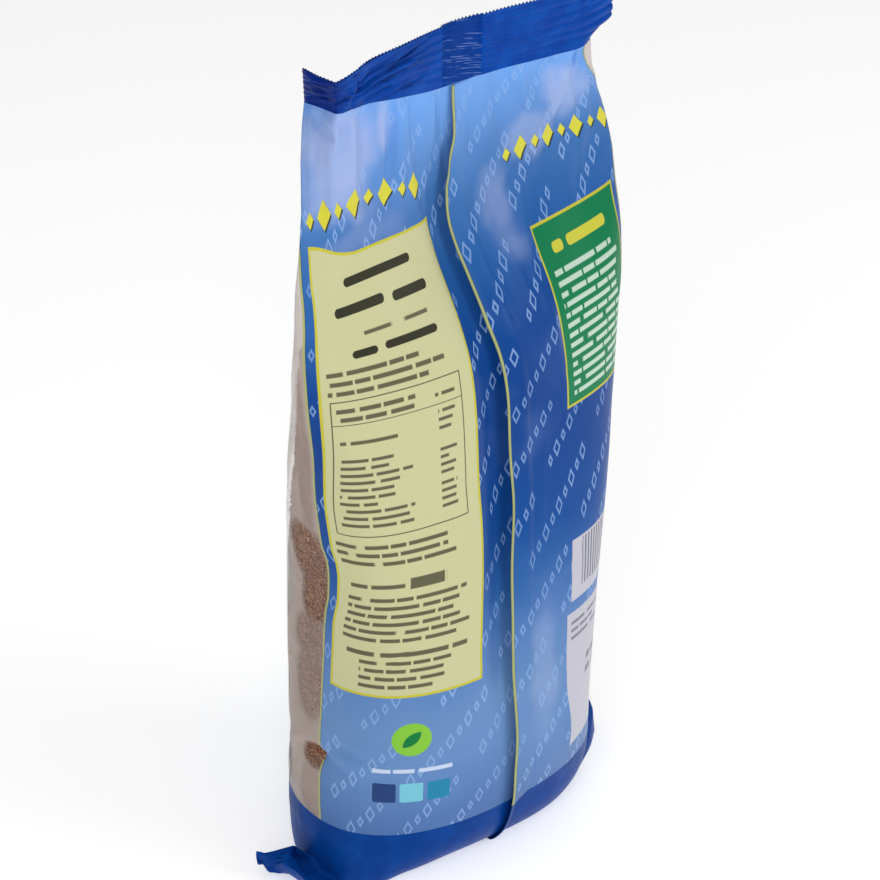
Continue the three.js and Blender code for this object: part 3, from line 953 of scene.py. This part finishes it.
def printed_film(name, artwork):
    material, draft, shader = new_material(name)
    along, height = film_place(draft)
    art = draft.group(artwork, Along=along, Height=height)
    finish_film(draft, shader, art["Color"], 0.34, 0.08, inner=PRINT_INNER)
    return material


def worn_blue(draft, deep, light):
    """Plain blue film, a little lighter where it is worn."""
    return draft.over(deep, light, draft.step(draft.noise(140, 4, 0.6), 0.35, 0.75))


def blue_film():
    """The dark blue of the band, the ears and the bottom seal."""
    material, draft, shader = new_material("dark blue film")
    base = worn_blue(draft, SEAL_DEEP, SEAL_BLUE)
    finish_film(draft, shader, base, 0.36, 0.04, 0.2, BLUE_INNER)
    return material


def clear_film():
    """Clear film: milky where it stands off the sugar, by the piece's own milk attribute."""
    material, draft, shader = new_material("clear film")
    streak = (draft.noise(120, 3) - 0.5) * 0.3
    share = draft.math("ADD", draft.attribute("milk"), streak, clamp=True)
    draft.feed(shader["Alpha"], share * 0.56 + 0.09)
    finish_film(draft, shader, ink(210, 197, 190), 0.3, 0.25, 0.1)
    return material


def sugar_material(name, dark, light):
    material, draft, shader = new_material(name)
    mottle = draft.noise(900, 3, 0.7)
    tone = (draft.attribute("tone") + mottle) * 0.5
    draft.feed(shader["Base Color"], draft.over(dark, light, tone))
    draft.feed(shader["Roughness"], mottle * 0.4 + 0.25)
    draft.feed(shader["Normal"], draft.bump(draft.noise(1100, 2, 0.6), 0.0006))
    return material


def seam_film():
    """The fin seam's film: the blue field above, plain blue on the band, a yellow free edge."""
    material, draft, shader = new_material("fin seam film")
    along, height = film_place(draft)
    colour = draft.group(FIELD, Along=along, Height=height, Motif=MOTIF_SHARE)["Color"]
    colour = edge_line(draft, colour, draft.attribute("from_edge"), SEAM_LINE)
    colour = draft.over(colour, SEAL_DEEP, draft.step(height, BAND_TOP + 0.1, BAND_TOP - 0.1))
    finish_film(draft, shader, colour, 0.34, 0.06)
    return material


LAP = (-4.8, 12.2)        # where the fin seam doubles the top seal
GLINT_PITCH = 0.78        # from one fine crimp line to the next
GLINT_SLANT = 0.17
SEAL_BLUE, SEAL_DEEP = ink(8, 68, 150), ink(4, 58, 134)


def seal_material():
    """The crimped seal: plain blue, with painted pale glints where the fin seam doubles it, and painted
    shade at its bent end and in its left creases.
    """
    material, draft, shader = new_material("crimped blue film")
    along, height = film_place(draft)
    math_, step = draft.math, draft.step
    base = worn_blue(draft, ink(6, 63, 154), ink(10, 77, 172))
    # the bent end is doubled; it is drawn darker as painted shade, since it faces away from the light
    bent_end_shade = step(along, -50.0, -58.0) * step(along, -90.0, -84.0)
    base = draft.over(base, ink(0, 30, 116), bent_end_shade * 0.85)
    # painted shade: dark slanting creases in the left half
    slant = draft.vector(along * 0.035, height * 0.62 - along * 0.14)
    dark = step(draft.noise(1.0, 3, 0.6, slant), 0.54, 0.36) * step(along, -8.0, -22.0)
    base = draft.over(base, ink(2, 30, 96), dark * 0.75)
    lap = step(along, LAP[0] - 0.2, LAP[0] + 0.2) * step(along, LAP[1] + 0.2, LAP[1] - 0.2)
    base = draft.over(base, ink(3, 50, 130), lap * 0.6)
    # painted highlight: broken pale glints along the crimp lines
    count = (height - FOOT_HEIGHT + along * GLINT_SLANT) / GLINT_PITCH
    thin = step(abs(math_("FRACT", count) - 0.5), 0.24, 0.1)
    index = math_("FLOOR", count)
    patchy = step(draft.noise(1.0, place=draft.vector(along * 0.1, index * 1.7)), 0.46, 0.56)
    glinting = math_("GREATER_THAN", draft.chance(index), 0.45) * patchy
    elsewhere = step(draft.noise(70), 0.58, 0.7) * (1.0 - bent_end_shade) * 0.2
    glint = thin * glinting * (math_("MAXIMUM", lap, elsewhere) * 0.6)
    base = draft.over(base, ink(112, 138, 204), glint)
    finish_film(draft, shader, base, 0.32, 0.04, 0.2, BLUE_INNER)
    return material


band_film, seal_film, clear_material = blue_film(), seal_material(), clear_film()

# The pieces


# Where the sugar presses on the clear film: arc, height, reach, rise, how hard
CONTACTS = [
    (76, 118, 9.2, 12, 1.0), (73.5, 104, 7.2, 14, 1.0), (75.5, 85, 8.4, 9, 0.62), (74.5, 70, 8, 14, 0.6),
    (72, 43.5, 6, 4.5, 1.0), (73, 30, 6, 12, 0.3), (73, 160, 3.4, 42, 0.4), (80, 165, 6, 22, 0.35),
    (98, 62, 8, 24, 0.75), (97, 128, 6, 26, 0.6), (96, 30, 9, 8, 0.4),
]


def milk_of(arc, height):
    """How milky the clear film looks: low where the sugar presses on it."""
    contact = np.zeros_like(arc)
    for at, level, reach, rise, share in CONTACTS:
        off = ((np.abs(arc) - at) / reach) ** 2 + ((height - level) / rise) ** 2
        contact = np.maximum(contact, share * (1 - smoothstep(off, 0.45, 1.35)))
    base = 0.8 + 0.12 * smoothstep(height, 130, 190) + 0.08 * smoothstep(-height, -60, -35)
    return base * (1 - contact)


def set_point_values(piece, name, values):
    layer = piece.data.attributes.new(name, "FLOAT", "POINT")
    layer.data.foreach_set("value", values.astype(np.float32))


def point_places(piece):
    """The arc and the height of each point, read back from the piece's print map."""
    uv = np.zeros(len(piece.data.loops) * 2)
    piece.data.uv_layers[0].data.foreach_get("uv", uv)
    corner = np.zeros(len(piece.data.loops), int)
    piece.data.loops.foreach_get("vertex_index", corner)
    place = np.zeros((len(piece.data.vertices), 2))
    place[corner] = uv.reshape(-1, 2)
    return (place[:, 0] - 0.5) * GIRTH, place[:, 1] * GIRTH


TOP_CLEARANCE = 0.3        # keeps the folded edge of the clear film clear of the back layer


def make_window(name, sign):
    arcs = np.sort(sign * spread(PRINT_EDGE, WINDOW_EDGE, 0.6))
    heights = spread(BAND_TOP, FOOT_HEIGHT, 0.9)
    off = TOP_CLEARANCE * smoothstep(heights, 236, 250)[:, None]
    piece = film_patch(name, arcs, heights, off)
    set_point_values(piece, "milk", milk_of(*point_places(piece)))
    return dress(piece, clear_material)


body_heights = spread(BAND_TOP, FOOT_HEIGHT, 1.0)
dress(
    film_patch("back_print", spread(-PRINT_EDGE, PRINT_EDGE, 0.7), body_heights),
    printed_film("back print", back_artwork()))
dress(
    film_patch("front_print", spread(WINDOW_EDGE, GIRTH - WINDOW_EDGE, 0.9), body_heights),
    printed_film("front print", front_artwork()))
make_window("left_window", -1)
make_window("right_window", 1)


def make_band():
    """The blue band round the bottom, rounding under to the pouch's flat underside."""
    arcs = spread(-FLAT_WIDTH, FLAT_WIDTH, 1.0)
    heights = np.concatenate([
        BOTTOM_ROUND * (1 - np.cos(np.linspace(0, np.pi / 2, 16))), [18.0, 19.8, BAND_TOP]])
    arc, height = np.meshgrid(arcs, heights)
    wall = film_point(arc, height)
    ring = wall[0]
    middle = np.stack([ring[:, 0] * 0.82, np.full(len(ring), ring[:, 1].mean()),
                       np.full(len(ring), 1.3)], -1)
    shares = np.linspace(1, 0.08, 9)
    under = np.stack([ring + (middle - ring) * share for share in shares])
    under[..., 2] = 1.3 * smoothstep(shares, 0, 0.35)[:, None]
    points = np.concatenate([under, wall])
    arc = np.concatenate([np.tile(arcs, (len(shares), 1)), arc])
    height = np.concatenate([np.zeros((len(shares), len(arcs))), height])
    return dress(lay_closed("bottom_band", arc, height, points), band_film)


make_band()

SEAL_RIBS = 6.5
RIB_DEPTH = 0.34
TOOTH = 1.45               # pitch of the saw-cut edge
# Folds of the seal: from place, up the seal, to place, up the seal; width; depth
SEAL_FOLDS = [
    (-57, 6, -14, 14.5, 0.75, -1.7), (-55, 8.5, -20, 16.8, 0.8, 0.8), (-52, 3.2, -24, 9.6, 0.7, -1.6),
    (-49, 5.6, -30, 11.0, 0.7, 0.8), (-42, 1.5, -28, 5.2, 0.7, -1.3), (-34, 12.5, -12, 17.6, 0.6, -1.0),
    (-44, 12, -30, 16, 0.6, -0.9), (-26, 3, -14, 6, 0.6, -0.7),
    (-70, 3, -58, 8, 0.8, -1.3), (-71, 8, -57, 12.5, 0.9, 1.1), (-70, 13, -60, 16, 0.9, -1.2),
    (-72, 17.6, -58, 17.6, 1.0, 1.3), (-54, 0.6, -46, 19, 0.9, 0.8), (-50.5, 0.4, -43.5, 17, 0.7, -0.9),
    (8, 4, 60, 3, 1.2, -0.35), (30, 13, 70, 15, 1.2, -0.3), (52, 8, 66, 19, 0.9, -0.5),
]


def make_top_seal():
    """The crimped seal: two films pressed together in ribs, with a saw-cut top edge."""
    arcs = spread(-FLAT_WIDTH, FLAT_WIDTH, TOOTH / 2)
    shares = np.linspace(0, 1, 64)
    arc, share = np.meshgrid(arcs, shares)
    place, side = layer_of(arc)
    foot, rise, out = seal_frame(place)
    foot = foot.copy()
    foot[..., 0] += SEAL_OVERHANG * smoothstep(place, 50, HALF_WIDTH) * smoothstep(share, 0, 0.28)
    rib = 2 * np.abs(np.sin(np.pi * SEAL_RIBS * share + 0.4 * np.sin(place / 11.0))) ** 0.6 - 1
    lap = smoothstep(place, LAP[0], LAP[0] + 0.5) * (1 - smoothstep(place, LAP[1] - 0.5, LAP[1]))
    finer = np.sin(2 * np.pi * 2.1 * SEAL_RIBS * share)
    pressed = 0.45 + 0.55 * smoothstep(place, -30, -8)
    wave = RIB_DEPTH * ((1 - lap) * rib * pressed + lap * (0.7 * finer - 1.0)) * np.minimum(1, 6 * share)
    up = share * SEAL_HEIGHT
    for from_place, from_up, to_place, to_up, width, depth in SEAL_FOLDS:
        run = np.array([to_place - from_place, to_up - from_up], float)
        length = np.hypot(*run)
        run /= length
        t = (place - from_place) * run[0] + (up - from_up) * run[1]
        held = np.clip(t, 0, length)
        off = np.hypot(place - from_place - held * run[0], up - from_up - held * run[1])
        wave = wave + depth * (0.3 + 0.7 * np.sin(np.pi * held / length)) * np.exp(-(off / width) ** 2)
    thick = SEAL_THICKNESS * (1 - 0.62 * smoothstep(share, 0, 0.12))
    tooth = np.where(np.arange(len(arcs)) % 2 == 0, 0.0, -0.7)[None, :]
    tall = up + tooth * smoothstep(share, 0.94, 1.0)
    points = foot + rise * tall[..., None] + out * (side * thick / 2 + wave)[..., None] + CENTRING
    edge = points[-1:].copy()
    centre = foot[-1:] + rise[-1:] * tall[-1:][..., None] + out[-1:] * wave[-1:][..., None] + CENTRING
    points = np.concatenate([points, edge * 0.1 + centre * 0.9])
    arc = np.concatenate([arc, arc[-1:]])
    height = np.concatenate([FOOT_HEIGHT + up, FOOT_HEIGHT + up[-1:]])
    return dress(lay_closed("top_seal", arc, height, points), seal_film)


make_top_seal()


def make_fin_seam():
    """The flap of the fin seam: its free edge stands off the film, its root lies on it."""
    arcs = spread(0, SEAM_WIDTH, 0.8)
    heights = np.concatenate(
        [spread(0.6, BOTTOM_ROUND, 1.0)[:-1], spread(BOTTOM_ROUND, FOOT_HEIGHT, 1.2)])
    arc, height = np.meshgrid(arcs, heights)
    share = arc / SEAM_WIDTH
    stand = SEAM_STAND * (1 + 0.22 * np.sin(height / 17) + 0.12 * np.sin(height / 6.1))
    stand = stand * (1 - 0.6 * smoothstep(height, FOOT_HEIGHT - 30, FOOT_HEIGHT))
    stand = stand * (0.4 + 0.6 * smoothstep(height, 4, 26))
    place = arc + seam_drift(height)
    off = SEAM_ROOT + stand * (1 - share) ** 1.4 + SEAM_FOLLOW * seam_valley(place, height)
    off = off - SEAM_SINK * smoothstep(share, 0.6, 1.0)
    off = off - BAND_SINK * smoothstep(share, 0.1, 0.42) * (1 - smoothstep(height, 15, 24))
    points = film_point(place, height, off)
    points[..., 2] = np.maximum(points[..., 2], 0.35)
    piece = lay_grid("fin_seam", place, height, points)
    at, level = point_places(piece)
    set_point_values(piece, "from_edge", at - seam_drift(level))
    select_only(piece)
    wall = piece.modifiers.new("film", "SOLIDIFY")
    wall.thickness = SEAM_FILM * MM
    wall.offset = -1
    bpy.ops.object.modifier_apply(modifier=wall.name)
    return dress(piece, seam_film())


make_fin_seam()

# Ears: lines across the folded corner from its tip to the body, each from its top edge down
# over its outer side to the floor and back along its inner side, in the CAD's numbers
LEFT_EAR = [
    [(-72.3, 11.1, 10.5), (-72.4, 11.1, 9.0), (-72.1, 11.3, 7.5),
     (-72.0, 11.1, 6.0), (-71.4, 11.2, 4.5), (-71.4, 12.0, 7.0)],
    [(-70.9, 10.5, 9.8), (-71.1, 10.2, 8.8), (-70.8, 10.6, 7.0),
     (-70.0, 10.9, 5.0), (-68.8, 11.3, 3.0), (-69.6, 12.2, 5.5)],
    [(-69.3, 9.8, 9.0), (-70.1, 9.0, 8.5), (-69.4, 9.2, 6.0),
     (-68.7, 9.5, 3.5), (-67.6, 10.3, 0.6), (-67.4, 12.0, 4.0)],
    [(-65.7, 7.6, 9.5), (-66.3, 7.9, 8.2), (-67.4, 7.7, 6.5),
     (-67.3, 7.8, 4.0), (-66.6, 8.1, 0.5), (-64.2, 11.0, 2.5)],
    [(-60.6, 6.6, 8.8), (-63.7, 4.6, 9.0), (-66.5, 3.4, 8.6),
     (-67.7, 3.5, 7.4), (-65.5, 6.5, 0.4), (-60.6, 10.6, 1.5)],
    [(-58.4, 7.4, 6.9), (-59.4, 6.3, 5.4), (-63.2, 3.8, 6.0),
     (-67.2, 1.1, 7.0), (-64.0, 4.3, 0.4), (-57.0, 10.0, 1.0)],
    [(-57.9, 5.6, 6.3), (-57.5, 5.5, 3.2), (-61.8, 2.0, 4.2),
     (-67.0, -1.9, 6.4), (-63.6, 1.6, 0.4), (-55.0, 8.6, 0.8)],
    [(-57.2, 3.3, 5.8), (-57.6, 2.3, 3.4), (-60.7, -0.5, 3.4),
     (-67.6, -6.1, 6.0), (-64.9, -2.5, 0.4), (-53.0, 6.0, 0.8)],
    [(-55.9, -0.6, 4.2), (-57.5, -2.2, 3.8), (-60.5, -4.8, 3.2),
     (-66.0, -10.2, 5.0), (-64.0, -7.2, 0.4), (-50.0, 2.0, 0.8)],
    [(-54.4, -6.8, 2.4), (-55.5, -8.5, 2.4), (-57.0, -10.2, 2.4),
     (-59.0, -12.6, 2.6), (-58.6, -11.4, 0.4), (-48.0, -4.0, 0.8)],
]
RIGHT_EAR = [
    [(66.2, -7.2, 10.5), (66.3, -8.1, 9.0), (66.2, -9.0, 7.5),
     (65.6, -10.2, 3.8), (64.8, -11.5, 0.3), (67.0, -7.6, 1.0)],
    [(64.0, -6.6, 11.0), (63.2, -9.3, 8.9), (62.0, -12.0, 6.8),
     (59.2, -14.6, 3.4), (57.0, -16.5, 0.3), (62.0, -4.0, 0.8)],
    [(60.0, -5.0, 11.6), (58.4, -9.3, 9.0), (55.4, -14.4, 7.4),
     (51.2, -18.6, 3.6), (46.6, -21.3, 0.3), (55.0, 0.0, 0.8)],
    [(54.0, -3.0, 12.0), (52.4, -9.0, 9.2), (48.8, -17.2, 8.2),
     (43.0, -21.8, 3.8), (37.6, -25.2, 0.3), (48.0, 2.0, 0.8)],
    [(46.0, -2.0, 12.0), (44.0, -8.0, 9.0), (40.0, -17.6, 6.0),
     (34.0, -23.0, 3.0), (29.6, -27.6, 0.3), (40.0, 2.0, 0.8)],
]
EAR_STEPS = 7
EAR_CREASES = 16


def lines_between(table):
    """More lines between a table's own, along its first axis, on smooth curves."""
    keyed = np.column_stack([np.arange(len(table)), table.reshape(len(table), -1)])
    at = np.linspace(0, len(table) - 1, (len(table) - 1) * EAR_STEPS + 1)
    return smooth_read(keyed, at).reshape(len(at), *table.shape[1:])


def make_ear(name, lines, seed):
    """A bottom corner of the film, pinched and folded flat, with small seeded creases."""
    draw = np.random.default_rng(seed)
    lines = np.array([line + line[:1] for line in lines], float)
    points = lines_between(lines_between(lines).transpose(1, 0, 2)).transpose(1, 0, 2)
    run, across = np.meshgrid(*[np.arange(n) for n in points.shape[:2]], indexing="ij")
    rough = np.zeros(run.shape)
    for _ in range(EAR_CREASES):
        a, b = draw.uniform(0, run.shape[1]), draw.uniform(0, run.shape[0])
        slope, width, far = draw.uniform(-0.8, 0.8), draw.uniform(1.0, 2.2), draw.uniform(-0.4, 0.4)
        rough += far * np.exp(-(((across - a) - slope * (run - b)) / width) ** 2)
    rough *= np.sin(np.pi * across / (run.shape[1] - 1)) * smoothstep(run, 0, 4)
    normal = np.cross(np.gradient(points, axis=0), np.gradient(points, axis=1))
    normal /= np.linalg.norm(normal, axis=-1, keepdims=True) + 1e-9
    points = points + normal * rough[..., None]
    points[..., 2] = np.maximum(points[..., 2], 0.25)
    ends = [np.tile(points[end].mean(0), (points.shape[1], 1))[None] for end in (0, -1)]
    points = np.concatenate([ends[0], points, ends[1]]) + CENTRING
    arc = np.zeros(points.shape[:2])
    return dress(lay_closed(name, arc, arc, points), band_film)


make_ear("left_ear", LEFT_EAR, 3)
make_ear("right_ear", RIGHT_EAR, 4)

STRIP_LENGTH, STRIP_WIDTH = 104.0, 15.0
STRIP_RIBS = 5


def make_bottom_seal():
    """The bottom seal: the same crimped strip as on top, folded flat under the pouch."""
    along = spread(-STRIP_LENGTH / 2, STRIP_LENGTH / 2, 1.0)
    across = spread(-STRIP_WIDTH / 2, STRIP_WIDTH / 2, 0.35)
    x, y = np.meshgrid(along, across)
    rib = 0.16 * np.sin(2 * np.pi * STRIP_RIBS * (y / STRIP_WIDTH + 0.5))
    lift = 0.12 * np.sin(x / 7.0) * np.abs(y) / STRIP_WIDTH
    lower = np.stack([x, y - 2.0, 0.45 + rib + lift], -1)
    upper = (lower + [0, 0, 0.5])[::-1]
    points = np.concatenate([lower, upper, lower[:1]]) + CENTRING
    place = np.concatenate([x, x, x[:1]])
    return dress(lay_closed("bottom_seal", place, place * 0, points), band_film)


make_bottom_seal()

# The sugar
FILL_TOP = 192.0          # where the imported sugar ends
GRAIN_COUNT = 7800         # behind each clear strip
GRAIN_SIZE = (0.55, 0.85)
FILL_FOLDED = 0.6         # how far the sugar follows the film's dents and folds


def fill_gap(arc, height):
    """How far the sugar lies behind the film."""
    gap = 1.3 + 1.5 * smoothstep(milk_of(arc, height), 0.1, 0.8)
    flatness = smooth_read(SECTIONS, height)[..., 0]
    return np.minimum(gap, 0.6 * HALF_WIDTH * flatness ** 2)


def make_sugar():
    arcs = spread(-FLAT_WIDTH, FLAT_WIDTH, 1.5)
    heights = np.concatenate([[1.2, 3, 6], spread(9, FILL_TOP, 1.6)])
    arc, height = np.meshgrid(arcs, heights)
    gap = fill_gap(arc, height)
    points = film_point(arc, height, -gap, FILL_FOLDED)
    points[..., 2] = np.maximum(points[..., 2], 2.4)
    ends = []
    for ring, lift in ((points[0], 0.0), (points[-1], 1.0)):
        middle = np.array([0, ring[:, 1].mean(), ring[:, 2].mean() + lift])
        ends.append(ring + (middle - ring) * 0.97)
    points = np.concatenate([ends[0][None], points, ends[1][None]])
    arc = np.concatenate([arc[:1], arc, arc[-1:]])
    height = np.concatenate([height[:1], height, height[-1:]])
    piece = lay_closed("sugar_fill", arc, height, points)
    set_point_values(piece, "tone", np.full(len(piece.data.vertices), 0.35))
    return dress(piece, sugar_material("packed sugar", ink(98, 56, 40), ink(152, 98, 72)))


CUBE = np.array([(x, y, z) for x in (-1, 1) for y in (-1, 1) for z in (-1, 1)], float) / 2
CUBE_FACES = np.array(
    [(0, 1, 3, 2), (4, 6, 7, 5), (0, 4, 5, 1), (2, 3, 7, 6), (0, 2, 6, 4), (1, 5, 7, 3)])


def make_grains():
    """Loose crystals of sugar that lie against the clear strips, joined into one piece."""
    draw = np.random.default_rng(SEED + 1)
    count = 2 * GRAIN_COUNT
    arc = draw.uniform(PRINT_EDGE - 0.6, WINDOW_EDGE + 0.6, count) * np.where(np.arange(count) % 2, 1, -1)
    height = draw.uniform(BAND_TOP - 1, 186, count)
    gap = fill_gap(arc, height) - draw.uniform(-0.2, 0.55, count)
    middle = film_point(arc, height, -gap, FILL_FOLDED)
    axis = draw.normal(size=(count, 3))
    axis /= np.linalg.norm(axis, axis=1, keepdims=True)
    angle = draw.uniform(0, np.pi, count)
    size = draw.uniform(*GRAIN_SIZE, (count, 1)) * draw.uniform(0.7, 1.0, (count, 3))
    corners = CUBE[None] * size[:, None] * draw.uniform(0.82, 1.0, (count, 8, 1))
    cosine, sine = np.cos(angle)[:, None, None], np.sin(angle)[:, None, None]
    spun = (corners * cosine + np.cross(axis[:, None], corners) * sine
            + axis[:, None] * np.sum(axis[:, None] * corners, -1, keepdims=True) * (1 - cosine))
    points = (middle[:, None] + spun).reshape(-1, 3) * MM
    faces = (CUBE_FACES[None] + 8 * np.arange(count)[:, None, None]).reshape(-1, 4)
    bpy.ops.object.select_all(action="DESELECT")
    mesh = bpy.data.meshes.new("sugar_grains")
    mesh.from_pydata(points.tolist(), [], faces.tolist())
    piece = bpy.data.objects.new("sugar_grains", mesh)
    bpy.context.scene.collection.objects.link(piece)
    face_outwards(piece)
    set_point_values(piece, "tone", np.repeat(draw.uniform(0, 1, count) ** 3.0, 8))
    return dress(piece, sugar_material("sugar crystals", ink(108, 64, 45), ink(214, 163, 124)))


make_sugar()
make_grains()

# Floor, light and camera

def make_floor():
    bpy.ops.object.select_all(action="DESELECT")
    bpy.ops.mesh.primitive_plane_add(size=6, location=(0, 0, 0))
    floor = bpy.context.object
    floor.name = "floor"
    material, _, shader = new_material("pale floor")
    shader["Base Color"].default_value = (0.9, 0.9, 0.9, 1)
    shader["Roughness"].default_value = 0.9
    shader["Emission Color"].default_value = (1, 1, 1, 1)
    shader["Emission Strength"].default_value = 0.45
    floor.data.materials.append(material)


def area_light(name, place, target, size, power):
    light = bpy.data.lights.new(name, "AREA")
    light.shape = "RECTANGLE"
    light.size, light.size_y = size
    light.energy = power
    lamp = bpy.data.objects.new(name, light)
    bpy.context.scene.collection.objects.link(lamp)
    lamp.location = place
    lamp.rotation_euler = (Vector(target) - Vector(place)).to_track_quat("-Z", "Y").to_euler()


def make_light():
    world = bpy.data.worlds.new("studio")
    bpy.context.scene.world = world
    world.use_nodes = True
    back = world.node_tree.nodes["Background"]
    back.inputs[0].default_value = (1, 1, 1, 1)
    back.inputs[1].default_value = 0.27
    middle = (0, 0, 0.13)
    area_light("key", (-1.15, -0.75, 0.95), middle, (0.9, 0.9), 8.5)
    area_light("fill", (0.7, -1.2, 0.7), middle, (0.8, 0.8), 7.0)
    area_light("top", (0.0, -0.1, 1.4), middle, (1.3, 1.3), 4)


AZIMUTH, ELEVATION, ROLL = -0.8217, 0.5299, 0.0231
DISTANCE = 1.0626
LENS, SENSOR = 140.75, 36.0
TARGET = Vector((-0.0032, 0.0, 0.1377)) + Vector(CENTRING * MM)


def make_camera():
    data = bpy.data.cameras.new("camera")
    data.lens, data.sensor_width = LENS, SENSOR
    data.clip_start = 0.02
    camera = bpy.data.objects.new("camera", data)
    bpy.context.scene.collection.objects.link(camera)
    back = Vector((math.sin(AZIMUTH) * math.cos(ELEVATION),
                   -math.cos(AZIMUTH) * math.cos(ELEVATION), math.sin(ELEVATION)))
    right = Vector((math.cos(AZIMUTH), math.sin(AZIMUTH), 0))
    up = back.cross(right)
    turned = right * math.cos(ROLL) + up * math.sin(ROLL)
    raised = up * math.cos(ROLL) - right * math.sin(ROLL)
    camera.matrix_world = (Matrix.Translation(TARGET + back * DISTANCE)
                           @ Matrix((turned, raised, back)).transposed().to_4x4())
    bpy.context.scene.camera = camera


make_floor()
make_light()
make_camera()
bpy.context.scene.view_settings.view_transform = "Standard"
